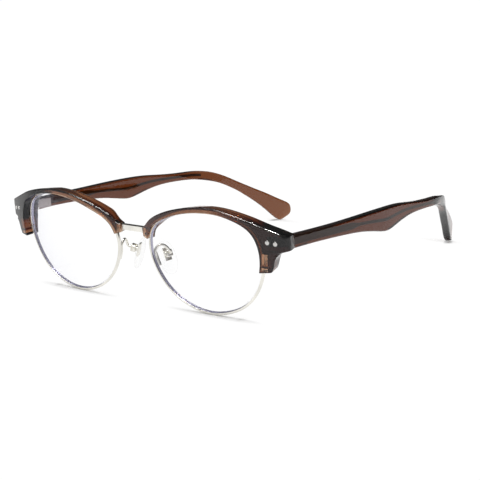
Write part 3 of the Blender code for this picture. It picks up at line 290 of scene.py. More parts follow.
class HingeSizes(bpy.types.PropertyGroup):
    """Hinges and the studs that hold them."""

    knuckle: length("Radius of the knuckles", 0.00125)
    knuckle_height: length("Height of a knuckle", 0.00105)
    knuckle_gap: length("Gap between knuckles", 0.0001)
    neck: length("Width of a knuckle's neck", 0.0018)
    neck_height: length("Height of a knuckle's neck", 0.00095)
    neck_sunk: length("How far a neck runs into the front leaf", 0.0002)
    neck_front: length("How far the temple leaf's neck runs forward", 0.0004)
    leaf: length("Thickness of the leaves", 0.0009)
    leaf_height: length("Height of the leaves", 0.0034)
    leaf_outward: length("Reach of the front leaf to the side", 0.0044)
    leaf_inward: length("Reach of the front leaf inwards", 0.0020)
    leaf_length: length("Length of the temple leaf", 0.0090)
    screw: length("Radius of the hinge screw", 0.0005)
    screw_head: length("Radius of the hinge screw's head", 0.0009)
    screw_head_height: length("Height of the hinge screw's head", 0.0004)
    slot: length("Half the width of the screw's slot", 0.00012)
    slot_depth: length("Depth of the screw's slot", 0.0002)
    screw_soft: length("Rounding of the screw's edges", 0.0001)
    offset: length("Room round the knuckles", 0.0002)
    stud: length("Radius of a stud's head", 0.00076)
    shank: length("Radius of a stud's shank", 0.0005)
    stud_head: length("Height of a stud's head", 0.0007)
    stud_proud: length("How far a stud stands out", 0.00012)
    stud_edge: length("From the brow's end to the outer stud", 0.0042)
    stud_spacing: length("Distance between the studs", 0.0026)
    stud_rise: length("Height of the outer stud over the hinge's middle", 0.0002)
    stud_inner_rise: length("The same of the inner stud", 0.00055)


class TempleSizes(bpy.types.PropertyGroup):
    """Temples and their core wires."""

    length: length("Straight length of a temple", 0.1320)
    thickness: length("Thickness at the hinge", 0.0038)
    corner: length("Rounding of the long edges", 0.0009)
    leaf_room: length("Room between the inner face and the hinge leaf", 0.000025)
    slope: angle("How far the temples slope down to the back", 3.0)
    inset: length("How far the temple stands in from the brow's end", 0.0002)
    turn: length("How far the tips turn inwards", 0.0250)
    mitre: length("Gap between the temple and the brow", 0.00015)
    core_flat: length("Thickness of the core's flat strip", 0.0007)
    core_height: length("Height of the core's flat strip", 0.0024)
    core_wire: length("Thickness of the core's round wire", 0.0011)


class PadSizes(bpy.types.PropertyGroup):
    """Nose pads, their arms and boxes."""

    arm: length("Radius of the arm's wire", 0.0005)
    foot_drop: length("How far the arm's foot lies under the lens centre", 0.0046)
    leg_top: length("How far the arm's leg on the rim rises over the lens centre", 0.0010)
    arm_rise: length("How far the arm's bow rises over its leg", 0.0015)
    arm_bulge: length("How far the arm swings out", 0.0022)
    arm_straight: length("Straight end of the arm", 0.0008)
    box_drop: length("How far the box lies under the lens centre", 0.0015)
    box_out: length("How far the box lies out from the lens edge", 0.0004)
    box_behind: length("How far the box lies behind the rim", 0.0066)
    box_width: length("Width of the box along its screw", 0.0023)
    box_height: length("Height of the box", 0.0026)
    box_depth: length("Depth of the box", 0.0021)
    slot_base: length("Wall left under the box's slot", 0.00045)
    box_soft: length("Rounding of the box's edges", 0.0003)
    tab_room: length("Room beside the tab in the box's slot", 0.0001)
    tab_width: length("Width of the insert's tab", 0.0009)
    tab_length: length("Length of the insert's tab", 0.0016)
    tab_reach: length("How far the tab passes the screw", 0.0005)
    screw: length("Radius of the pad screw", 0.0004)
    screw_head: length("Radius of the pad screw's head", 0.0008)
    screw_head_height: length("Height of the pad screw's head", 0.0004)
    slot: length("Half the width of the screw's slot", 0.0001)
    slot_depth: length("Depth of the screw's slot", 0.00018)
    screw_soft: length("Rounding of the screw's edges", 0.0001)
    length: length("Length of a pad", 0.0126)
    width: length("Width of a pad", 0.0068)
    thickness: length("Thickness of a pad", 0.0024)
    squareness: amount("Power of the pad's outline", 2.3, 8.0)
    flare: angle("How far the pads flare at the bottom", 20.0)
    splay: angle("How far the pads open to the back", 25.0)
    lowered: length("How far the pad hangs below its screw", 0.0013)
    standoff: length("From the screw to the pad's back", 0.0014)
    plate_width: length("Width of the insert's plate", 0.0024)
    plate_length: length("Length of the insert's plate", 0.0050)
    plate: length("Thickness of the insert's plate", 0.0006)
    insert_soft: length("Rounding of the insert's edges", 0.0001)
    sunk: length("How deep the insert lies in the pad", 0.0003)


class Finishes(bpy.types.PropertyGroup):
    """Colours and gloss."""

    acetate: colour("Colour that the acetate lets through", (0.62, 0.39, 0.17))
    acetate_depth: amount("How strongly the acetate absorbs, per metre", 1500.0, 20000.0)
    acetate_gloss: amount("Roughness of the polished acetate", 0.045)
    silver: colour("Colour of the rims and the bridge", (0.86, 0.84, 0.78))
    silver_gloss: amount("Roughness of the rims and the bridge", 0.24)
    # Painted reflection of the lens's blue-violet coating and painted shade, on the rims' inner side
    coat: colour("Colour of the rims' inner side beside the coated lens", (0.38, 0.37, 0.48))
    steel: colour("Colour of screws, arms and hinges", (0.62, 0.61, 0.59))
    core: colour("Colour of the temples' cores", (0.14, 0.14, 0.16))
    leaf: colour("Colour of the temples' hinge leaves", (0.40, 0.36, 0.36))
    # Colour of the painted sheen that the lens shows towards grazing angles
    lens: colour("Tint of the coated lens", (0.60, 0.64, 0.95))
    lens_alpha: amount("How much the lens hides", 0.006)
    silicone: colour("Colour of the nose pads", (0.90, 0.90, 0.88))
    silicone_alpha: amount("How much the nose pads hide", 0.03)


class StageSettings(bpy.types.PropertyGroup):
    """Floor, lamps and camera."""

    floor_size: length("Side of the floor", 40.0)
    floor: amount("Brightness of the floor's paint", 0.95)
    glow: amount("Brightness that the floor shows of itself", 1.03, 4.0)
    near: amount("Share of the floor's glow beside its lit paint, near the eyeglasses", 0.05)
    far: amount("The same further away", 0.95)
    fade_start: length("How far from where the eyeglasses stand the paint starts to fade", 0.0008)
    fade_end: length("Where the paint has faded to the far share", 0.0036)
    stretch: amount("How much less that distance counts across the front", 0.15)
    focal: amount("Focal length of the camera, in millimetres", 103.521675, 1000.0)
    world: amount("Strength of the surrounding light", 0.70, 10.0)
    dusk: amount("Brightness of the studio's far wall in a reflection", 0.06)
    walls: amount("Brightness of the studio's other walls in a reflection", 0.45)
    ceiling: amount("Brightness of the studio's ceiling in a reflection", 0.5)
    strip: amount("Brightness of the long lamp in a reflection", 9.0, 100.0)
    strip_length: amount("Half the strip's length as a sine", 0.46)
    strip_width: amount("Half the strip's width as a sine", 0.17)
    lamp_distance: length("Distance of the lamp overhead", 4.5)
    lamp_size: length("Side of the lamp overhead", 0.6)
    lamp: amount("Light of the lamp overhead on the floor", 0.40, 10.0)


class Eyeglasses(bpy.types.PropertyGroup):
    """All the settings of the eyeglasses."""

    eye: bpy.props.PointerProperty(type=EyeSizes)
    rim: bpy.props.PointerProperty(type=RimSizes)
    brow: bpy.props.PointerProperty(type=BrowSizes)
    bridge: bpy.props.PointerProperty(type=BridgeSizes)
    hinge: bpy.props.PointerProperty(type=HingeSizes)
    temple: bpy.props.PointerProperty(type=TempleSizes)
    pad: bpy.props.PointerProperty(type=PadSizes)
    finish: bpy.props.PointerProperty(type=Finishes)
    stage: bpy.props.PointerProperty(type=StageSettings)


def unit(vector):
    """Vectors at length one, along the last axis."""
    vector = np.asarray(vector, float)
    return vector / np.linalg.norm(vector, axis=-1, keepdims=True)


def spline(points, closed=False):
    """Cubic spline through the points over their chord lengths: (whole length, function of the length)."""
    p = np.asarray(points, float)
    if closed:
        p = np.vstack([p, p[:1]])
    knots = np.concatenate([[0.0], np.cumsum(np.linalg.norm(np.diff(p, axis=0), axis=1))])
    step = np.diff(knots)
    count = len(p)
    left = np.zeros((count, count))
    right = np.zeros_like(p)
    slope = np.diff(p, axis=0) / step[:, None]
    for i in range(1, count - 1):
        left[i, i - 1 : i + 2] = step[i - 1], 2 * (step[i - 1] + step[i]), step[i]
        right[i] = 6 * (slope[i] - slope[i - 1])
    left[0, 0] = 1
    left[-1, -1] = 1
    if closed:
        left[0, -1] = -1
        left[-1] = 0
        left[-1, :2] = 2 * step[0], step[0]
        left[-1, -2:] = step[-1], 2 * step[-1]
        right[-1] = 6 * (slope[0] - slope[-1])
    bend = np.linalg.solve(left, right)

    def at(run):
        """The spline's points at lengths along it."""
        run = np.atleast_1d(run)
        if closed:
            run = run % knots[-1]
        i = np.clip(np.searchsorted(knots, run, side="right") - 1, 0, count - 2)
        h = step[i][:, None]
        a = (knots[i + 1] - run)[:, None] / h
        b = 1 - a
        return a * p[i] + b * p[i + 1] + ((a**3 - a) * bend[i] + (b**3 - b) * bend[i + 1]) * h**2 / 6

    return knots[-1], at


def smooth_step(value, start, stop):
    """A smooth step from 0 at start to 1 at stop: 3 x^2 - 2 x^3."""
    share = np.clip((value - start) / (stop - start), 0.0, 1.0)
    return share**2 * (3 - 2 * share)


def superellipse(sides, power):
    """Across and up round a full turn: the power of the cosine and of the sine, with their signs."""
    turn = np.arange(sides) * math.tau / sides
    return [np.sign(wave) * np.abs(wave) ** power for wave in (np.cos(turn), np.sin(turn))]


def eased(low, high, cut, steps=CORNER_STEPS):
    """Stations from low to high, and how far a section draws in at each: by a quarter round at both ends."""
    t = np.linspace(0.0, math.pi / 2, steps)
    ease, inset = cut * (1 - np.cos(t)), cut * (1 - np.sin(t))
    return np.concatenate([low + ease, high - ease[::-1]]), np.concatenate([inset, inset[::-1]])


def soften(sections, cut, steps=CORNER_STEPS):
    """Closed sections with each corner rounded.

    Each corner becomes a parabola from `cut` before it to `cut` after it, with the corner as its middle
    control point; a cut stops short of half of the shorter side.
    """
    sections = np.asarray(sections, float)
    before = np.roll(sections, 1, axis=-2) - sections
    after = np.roll(sections, -1, axis=-2) - sections
    long_before = np.linalg.norm(before, axis=-1, keepdims=True)
    long_after = np.linalg.norm(after, axis=-1, keepdims=True)
    cut = np.broadcast_to(np.asarray(cut, float), sections.shape[:-1])[..., None]
    cut = np.minimum(cut, SHORT_OF_HALF * np.minimum(long_before, long_after))
    start = sections + before / long_before * cut
    stop = sections + after / long_after * cut
    t = np.linspace(0.0, 1.0, steps)[:, None]
    start, middle, stop = (part[..., None, :] for part in (start, sections, stop))
    curve = start * (1 - t) ** 2 + middle * 2 * t * (1 - t) + stop * t**2
    return curve.reshape(*sections.shape[:-2], -1, sections.shape[-1])


def round_ends(rings, cut, steps=CORNER_STEPS):
    """Rings with rounded ends: an end ring draws in by cut (1 - cos t) as it moves out by cut sin t."""
    rings = np.asarray(rings, float)
    rows = [rings[1:-1]]
    for last, inner, first in ((rings[-1], rings[-2], False), (rings[0], rings[1], True)):
        ahead = unit(last.mean(axis=0) - inner.mean(axis=0))
        inward = unit(last.mean(axis=0) - last)
        t = np.linspace(0.0, math.pi / 2, steps)[:, None, None]
        end = last - ahead * cut + ahead * cut * np.sin(t) + inward * cut * (1 - np.cos(t))
        rows = [end[::-1], *rows] if first else [*rows, end]
    return np.concatenate(rows)


def skin(rings):
    """Points and faces over a grid of points: rings run round, rows run along, flat faces close the ends."""
    count, sides = rings.shape[:2]
    row = np.arange(count - 1)[:, None] * sides
    here = np.arange(sides)[None]
    beside = (here + 1) % sides
    faces = np.stack([row + here, row + beside, row + sides + beside, row + sides + here], axis=-1)
    ends = [list(range(sides)), list(range((count - 1) * sides, count * sides))]
    return rings.reshape(-1, 3), [*faces.reshape(-1, 4).tolist(), *ends]


def rounded_box(centre, axes, low, high, cut):
    """Rings of a box with rounded edges.

    The section is a rectangle with rounded corners; along the first axis it draws in by cut (1 - sin t) at
    both ends while t runs from 0 to a quarter turn.
    """
    low, high = np.asarray(low, float), np.asarray(high, float)
    along, inset = eased(low[0], high[0], cut)
    corners = np.array([(0, 0), (1, 0), (1, 1), (0, 1)])
    flat = low[1:] + corners * (high[1:] - low[1:])
    flat = flat[None] + (1 - 2 * corners)[None] * inset[:, None, None]
    section = soften(flat, cut, CORNER_STEPS + 1)
    along = np.broadcast_to(along[:, None, None], (*section.shape[:2], 1))
    return np.asarray(centre) + np.concatenate([along, section], axis=-1) @ np.asarray(axes)


def turned(profile, base, axis, soft=0.0):
    """Rings of a turned shape: the profile's rows are (radius, way along the axis), its corners eased."""
    profile = np.asarray(profile, float)
    if soft:
        closed = np.vstack([profile, [(0.0, profile[-1, 1]), (0.0, profile[0, 1])]])
        cut = np.full(len(closed), soft)
        cut[-2:] = 0.0
        profile = soften(closed, cut)[: len(profile) * CORNER_STEPS]
    tip = np.array([profile[0], profile[-1]]) * [TIP_SHARE, 1.0]
    profile = np.vstack([tip[:1], profile, tip[1:]])
    axis = unit(axis)
    across = unit(np.cross(axis, (0.0, 0.0, 1.0) if abs(axis[2]) < math.sqrt(0.5) else (1.0, 0.0, 0.0)))
    other = np.cross(axis, across)
    turn = np.arange(ROUND_SIDES) * math.tau / ROUND_SIDES
    circle = np.cos(turn)[:, None] * across + np.sin(turn)[:, None] * other
    return np.asarray(base) + axis * profile[:, 1, None, None] + circle[None] * profile[:, 0, None, None]


def round_bar(radius, start, stop, base, axis, soft=0.0):
    """Rings of a cylinder between two ways along its axis."""
    return turned([(radius, start), (radius, stop)], base, axis, soft)


def tube(path, radius, side):
    """Rings of a round wire: circles square to the path."""
    path = np.asarray(path, float)
    ahead = unit(np.gradient(path, axis=0))
    up = unit(np.cross(ahead, side))
    over = np.cross(up, ahead)
    turn = (np.arange(WIRE_SIDES) * math.tau / WIRE_SIDES)[None, :, None]
    return path[:, None] + (np.cos(turn) * over[:, None] + np.sin(turn) * up[:, None]) * radius


def smooth(mesh):
    """Shade a mesh smooth but for its sharp edges."""
    mesh.shade_smooth()
    mesh.set_sharp_from_angle(angle=SMOOTH_ANGLE)


def mesh_of(name, rings, flip):
    """A mesh over the rings, put in place in the model and mirrored by flip, its faces pointing outwards."""
    points, faces = skin((np.asarray(rings) + CENTRE_SHIFT) * flip)
    mesh = bpy.data.meshes.new(name)
    mesh.from_pydata(points.tolist(), [], faces)
    work = bmesh.new()
    work.from_mesh(mesh)
    bmesh.ops.recalc_face_normals(work, faces=work.faces)
    work.to_mesh(mesh)
    work.free()
    smooth(mesh)
    return mesh


def add(name, data):
    """A new object in the scene."""
    made = bpy.data.objects.new(name, data)
    bpy.context.scene.collection.objects.link(made)
    return made


def put(name, node, rings, finish, body="front", sign=1.0, joins=(), cuts=()):
    """Make a piece: its mesh, shapes joined on and cut away, its finish, body and replaced node."""
    flip = (sign, 1.0, 1.0)
    made = add(name, mesh_of(name, rings, flip))
    shapes = [("UNION", shape) for shape in joins] + [("DIFFERENCE", shape) for shape in cuts]
    helpers = []
    for operation, shape in shapes:
        helper = add(f"{name}_tool", mesh_of(f"{name}_tool", shape, flip))
        change = made.modifiers.new(operation.title(), "BOOLEAN")
        change.operation = operation
        change.solver = "EXACT"
        change.object = helper
        helpers.append(helper)
    if helpers:
        ready = made.evaluated_get(bpy.context.evaluated_depsgraph_get())
        mesh = bpy.data.meshes.new_from_object(ready)
        made.modifiers.clear()
        made.data = mesh
        mesh.name = name
        smooth(mesh)
        for helper in helpers:
            bpy.data.objects.remove(helper, do_unlink=True)
    made.data.materials.clear()
    made.data.materials.append(finish)
    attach(made, body)
    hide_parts(node)
    return made


def both(name, node, rings, finish, body="front", joins=(), cuts=()):
    """Make a piece in both halves, each standing for its node."""
    rides = {half: body if body == "front" else f"{body}_{half}" for half, _ in HALVES}
    return [put(f"{name}_{half}", f"{node}_{half}", rings, finish_of(finish), rides[half], sign, joins,
                cuts) for half, sign in HALVES]


def screw(name, node, sizes, head, ahead, total, axes, reach, finish="polished steel"):
    """A screw in both halves: its head starts at a point, its shank runs ahead, and a box cuts its slot."""
    rows = [(sizes.screw_head, 0.0), (sizes.screw_head, sizes.screw_head_height),
            (sizes.screw, sizes.screw_head_height), (sizes.screw, total)]
    slot = rounded_box(head, axes, -np.array(reach), reach, SHARP)
    both(name, node, turned(rows, head, ahead, sizes.screw_soft), finish, cuts=[slot])


class Front:
    """The front's shape in one half: the dished face, and the lens outline by share from the nose side."""

    def __init__(self, s):
        self.s = s
        eye = s.eye
        self.x = (eye.gap + eye.width) / 2
        self.z = s.rim.outside + eye.height / 2
        size = np.array([eye.width, eye.height])
        total, at = spline(np.array(LENS_OUTLINE_SHARES) * size, closed=True)
        line = at(np.linspace(0.0, total, EYE_SAMPLES, endpoint=False))
        low, high = line.min(axis=0), line.max(axis=0)
        line = (line - (low + high) / 2) * size / (high - low) + np.array([self.x, self.z])
        gaps = np.linalg.norm(np.diff(np.vstack([line, line[:1]]), axis=0), axis=1)
        self.total = gaps.sum()
        self.share = np.concatenate([[0.0], np.cumsum(gaps)]) / self.total
        ahead = unit(np.roll(line, -1, axis=0) - np.roll(line, 1, axis=0))
        self.line = np.vstack([line, line[:1]])
        self.ahead = np.vstack([ahead, ahead[:1]])
        self.first = self.share_at(self.z + s.brow.foot_rise, nasal=True)
        self.last = self.share_at(self.z - s.brow.leg_drop, nasal=False)
        self.split = self.share_at(self.z + s.rim.split_rise, nasal=False)

    def read(self, table, share):
        """Rows of a table along the outline, read at shares of it."""
        share = np.atleast_1d(share) % 1.0
        return np.stack([np.interp(share, self.share, table[:, k]) for k in range(2)], axis=1)

    def offset(self, share, reach):
        """Points at shares of the outline, moved outwards by the reach."""
        ahead = self.read(self.ahead, share)
        out = np.stack([-ahead[:, 1], ahead[:, 0]], axis=1)
        return self.read(self.line, share) + out * np.broadcast_to(reach, (len(out),))[:, None]

    def share_at(self, height, nasal):
        """The share at which the nose side or the temple side of the outline passes a height."""
        top = np.argmax(self.line[:, 1])
        stretch = slice(0, top) if nasal else slice(top, int(len(self.line) * TEMPLE_SIDE_SHARE))
        heights = self.line[stretch, 1]
        order = np.argsort(heights)
        return float(np.interp(height, heights[order], self.share[stretch][order]))

    def nasal_point(self, height):
        """The outline's point on the nose side at a height, as (x, z)."""
        nose = self.line[:, 0] < self.x
        order = np.argsort(self.line[nose][:, 1])
        x = np.interp(height, self.line[nose][order, 1], self.line[nose][order, 0])
        return np.array([x, height])

    def depth(self, x, z):
        """Y of the face: a parabolic dish about the lens centre, plus the lean and the wrap."""
        eye = self.s.eye
        across, up = x - self.x, z - self.z
        return (across**2 + up**2) / (2 * eye.radius) - math.tan(eye.lean) * up + math.tan(eye.wrap) * x

    def normal(self, x, z):
        """Unit normal of the face, pointing to the back."""
        eye = self.s.eye
        along_x = (x - self.x) / eye.radius + math.tan(eye.wrap)
        along_z = (z - self.z) / eye.radius - math.tan(eye.lean)
        return unit(np.stack([-along_x, np.ones_like(along_x), -along_z], axis=-1))

    def place(self, flat, depth):
        """Points at (x, z) on the face, moved back along its normal by the depth."""
        flat = np.atleast_2d(flat)
        x, z = flat[:, 0], flat[:, 1]
        depth = np.broadcast_to(depth, x.shape)
        return np.stack([x, self.depth(x, z), z], axis=1) + self.normal(x, z) * depth[:, None]

    def axes(self, flat, along=(1.0, 0.0)):
        """Axes on the face at (x, z): along it in the given flat direction, back, and across."""
        back = self.normal(*np.asarray(flat, float))
        ahead = np.array([along[0], 0.0, along[1]])
        ahead = unit(ahead - back * (ahead @ back))
        return np.array([ahead, back, np.cross(ahead, back)])


class HingePlan:
    """Where a hinge stands: its axis, the brow's back face, the temple's inner face and the floor."""

    def __init__(self, front):
        s = front.s
        span = front.last - front.first
        top = front.offset(front.first + BROW_END_SHARE * span, s.brow.end_reach)[0]
        low = front.offset(front.first + BROW_END_LOW_SHARE * span, s.brow.end_low_reach)[0]
        self.front = front
        self.height = (top[1] + low[1]) / 2
        self.edge = min(top[0], low[0])
        self.floor = -CENTRE_SHIFT[2]
        corner = front.place((self.edge, self.height), s.brow.end_back)[0]
        self.outer_x = corner[0] - s.temple.inset
        self.inner_x = self.outer_x - s.temple.thickness
        self.x = self.inner_x - s.hinge.knuckle - s.hinge.offset
        self.face = front.axes((self.x, self.height))
        self.on_back = front.place((self.x, self.height), s.brow.end_back)[0]
        self.start_y = self.on_back[1] + s.hinge.offset
        self.axis = np.array([0.0, math.sin(s.temple.slope), math.cos(s.temple.slope)])
        self.axes = np.array([(1.0, 0.0, 0.0), np.cross(self.axis, (1.0, 0.0, 0.0)), self.axis])
        self.point = np.array([self.x, self.on_back[1], self.height])
        back = self.face[1]
        short = s.hinge.knuckle + s.hinge.offset - back @ (self.point - self.on_back)
        self.point[1] += short / back[1]

    def back_y(self, points):
        """Y of the brow's back face before or behind the points."""
        front, depth = self.front, self.front.s.brow.end_back
        flat = points[:, [0, 2]]
        flat = flat - front.normal(*flat.T)[:, [0, 2]] * depth
        return front.place(flat, depth)[:, 1]


class PadPlan:
    """Where a nose pad and its box stand: axes are along the screw, along the pad, and to the skin."""

    def __init__(self, front):
        p, eye = front.s.pad, front.s.eye
        skin_side = unit((-1.0, math.tan(p.splay), -math.tan(p.flare)))
        upward = np.array([-math.tan(p.flare), 0.0, 1.0])
        upward = unit(upward - skin_side * (upward @ skin_side))
        along = np.cross(upward, skin_side)
        self.axes = np.array([along if along[1] < 0 else -along, upward, skin_side])
        behind = front.place((eye.gap / 2 + p.box_out, front.z - p.box_drop), front.s.rim.depth / 2)[0]
        self.box = behind + np.array([0.0, p.box_behind, 0.0])
        self.pad = self.box + skin_side * (p.standoff + p.thickness / 2) - upward * p.lowered
        self.box_centre = self.box + skin_side * (p.standoff * PAD_BOX_SHARE - p.box_depth / 2)


def brow_line(front):
    """Stations of the brow piece: shares of the outline, and the outer edge's points there."""
    b, first, last = front.s.brow, front.first, front.last

    def outer(rows, low, high):
        """Points at the rows' shares, moved out from the low towards the high reach."""
        rows = np.array(rows)
        return front.offset(first + rows[:, 0] * (last - first), low + rows[:, 1] * (high - low))

    top_points = np.vstack([outer(BROW_FOOT_SHARES, b.band, b.foot_reach),
                            outer(BROW_END_SHARES, b.band, b.end_reach)])
    leg_points = outer(BROW_LEG_SHARES, b.leg_reach, b.end_low_reach)
    leg_points[-1, 1] = front.read(front.line, last)[0, 1] + b.leg_lift
    foot_bottom = front.offset(first, b.foot_bottom)[0]
    stretches = (
        (0.0, BROW_FOOT_SHARE, [foot_bottom, top_points[0]], FOOT_STEPS),
        (BROW_FOOT_SHARE, BROW_END_SHARE, top_points, 3 * BROW_STEPS),
        (BROW_END_SHARE, BROW_END_LOW_SHARE, [top_points[-1], leg_points[0]], END_STEPS),
        (BROW_END_LOW_SHARE, 1.0, leg_points, BROW_STEPS),
    )
    shares, points = [], []
    for start, stop, knots, steps in stretches:
        total, at = spline(knots)
        line = at(np.arange(steps) / steps * total)
        trial = np.linspace(first + start * (last - first), first + stop * (last - first), EYE_SAMPLES)
        miss = np.einsum("ikj,kj->ik", line[:, None] - front.read(front.line, trial)[None],
                         front.read(front.ahead, trial))
        points.append(line)
        shares.append(trial[np.argmin(np.abs(miss), axis=1)])
    points.append(leg_points[-1:])
    shares.append([last])
    return np.concatenate(shares), np.concatenate(points)


def brow_rings(front):
    """Sections of the brow piece from its foot to the leg.

    Each runs from the lens outline to the brow's outer edge. Its depths swell by a smooth step towards the
    end and thin again down the leg, and the front outer corner rounds over at the end.
    """
    b, rim = front.s.brow, front.s.rim
    shares, outer = brow_line(front)
    inner = front.read(front.line, shares)
    across = unit(outer - inner)
    way = (shares - front.first) / (front.last - front.first)
    swell, foot = smooth_step(way, *BROW_SWELL_SHARES), smooth_step(way, *BROW_FOOT_BACK_SHARES)
    thin = np.clip((way - BROW_END_LOW_SHARE) / (1 - BROW_END_LOW_SHARE), 0.0, 1.0)
    fore = -rim.depth / 2 - b.lip - (b.end_lip - b.lip) * swell
    back = b.foot_back + (b.back - b.foot_back) * foot
    back = back + (b.end_back - b.back) * swell + (b.leg_back - b.end_back) * thin
    groove = rim.depth / 2 + b.gap
    floor = rim.outside + b.gap
    cover = b.cover * np.interp(way, *np.transpose(BROW_COVER_SHARES))
    near = ((-cover, fore), (-cover, -groove), (floor, -groove), (floor, groove), (0.0, groove), (0.0, back))
    beyond = np.maximum(BROW_END_SHARE - way, way - BROW_END_LOW_SHARE).clip(0.0) / BROW_BEVEL_SPREAD_SHARE
    bevel = b.bevel + (b.end_bevel - b.bevel) * (1 - beyond).clip(0.0)
    columns = [front.place(inner + across * np.broadcast_to(reach, way.shape)[:, None], depth)
               for reach, depth in near]
    columns += [front.place(outer, back), front.place(outer, fore + bevel)]
    columns += [front.place(outer - across * bevel[:, None], fore)]
    section = np.stack(columns, axis=1)
    # The groove's corners stay tight; the back's and the bevel's edges are eased
    cut = np.full(section.shape[:2], b.soft)
    cut[:, 1:5] = b.gap / 2
    cut[:, 6] = b.bevel_edge
    cut[:, 7:9] = (b.bevel_edge + (bevel - b.bevel) * END_EASE_SHARE)[:, None]
    return round_ends(soften(section, cut, BROW_CORNER_STEPS), b.soft)


def temple_stations(plan, count, start=0.0, stop=1.0):
    """Top and bottom edge points of the outer face, the inward direction and the thickness."""
    t = plan.front.s.temple
    total, at = spline(TEMPLE_SHARES)
    trial = np.linspace(0.0, total, EYE_SAMPLES)
    flat = at(trial)[:, :6] * ([t.length, plan.height] * 2 + [t.turn] * 2)
    gaps = sum(np.linalg.norm(np.diff(flat[:, edge], axis=0), axis=1) for edge in ([0, 1, 4], [2, 3, 5]))
    way = np.concatenate([[0.0], np.cumsum(gaps)]) / gaps.sum()
    rows = at(np.interp(np.linspace(start, stop, count), way, trial))
    rise = plan.height - plan.floor
    top, low = (
        np.stack([plan.outer_x - turn * t.turn, plan.start_y + run * t.length,
                  plan.floor + np.maximum(height, 0.0) * rise], axis=1)
        for run, height, turn in (rows[:, [0, 1, 4]].T, rows[:, [2, 3, 5]].T)
    )
    ahead = np.gradient((top + low) / 2, axis=0)
    inward = unit(np.stack([-ahead[:, 1], ahead[:, 0], np.zeros(len(ahead))], axis=1))
    return top, low, inward, rows[:, 6] * t.thickness


def temple_rings(plan):
    """Sections of the temple: rectangles between its two edges, with rounded corners and a mitred front."""
    t = plan.front.s.temple
    top, low, inward, thick = temple_stations(plan, TEMPLE_STEPS)
    tall = np.linalg.norm(top - low, axis=1)
    deep = inward * (thick - t.leaf_room)[:, None]
    section = np.stack([low, low + deep, top + deep, top], axis=1)
    section[0, :, 1] = plan.back_y(section[0]) + t.mitre
    corner = np.minimum(t.corner, np.minimum(tall, thick) * TEMPLE_CORNER_SHARE)
    return round_ends(soften(section, corner[:, None], TEMPLE_CORNER_STEPS), plan.front.s.brow.bevel_edge)


def core_rings(plan):
    """Sections of the core wire: a superellipse that draws from a flat strip to a round wire."""
    t = plan.front.s.temple
    top, low, inward, thick = temple_stations(plan, WIRE_STEPS, CORE_START_SHARE, CORE_END_SHARE)
    share = np.linspace(CORE_START_SHARE, CORE_END_SHARE, WIRE_STEPS)
    flat = smooth_step(share, *CORE_NECK_SHARES)
    tall = (t.core_wire + (t.core_height - t.core_wire) * flat) / 2
    wide = (t.core_wire + (t.core_flat - t.core_wire) * flat) / 2
    up = unit(top - low)
    middle = (top + low) / 2 + inward * (thick * CORE_DEPTH_SHARE)[:, None]
    wave, rise = superellipse(CORE_SIDES, (1.0 - flat / 2)[:, None])
    rings = (middle[:, None] + inward[:, None] * (wide[:, None] * wave)[..., None]
             + up[:, None] * (tall[:, None] * rise)[..., None])
    return round_ends(rings, t.core_flat / 3)


class Value:
    """An output of a shader tree. Arithmetic on it adds Math nodes."""

    def __init__(self, tree, output):
        self.tree = tree
        self.output = output

    def math(self, operation, *terms):
        """A Math node on the terms."""
        return self.tree.node("ShaderNodeMath", {"operation": operation}, dict(enumerate(terms)))

    def __add__(self, other):
        return self.math("ADD", self, other)

    def __rsub__(self, other):
        return self.math("SUBTRACT", other, self)

    def __mul__(self, other):
        return self.math("MULTIPLY", self, other)

    def least(self, other):
        """The lesser of two values."""
        return self.math("MINIMUM", self, other)


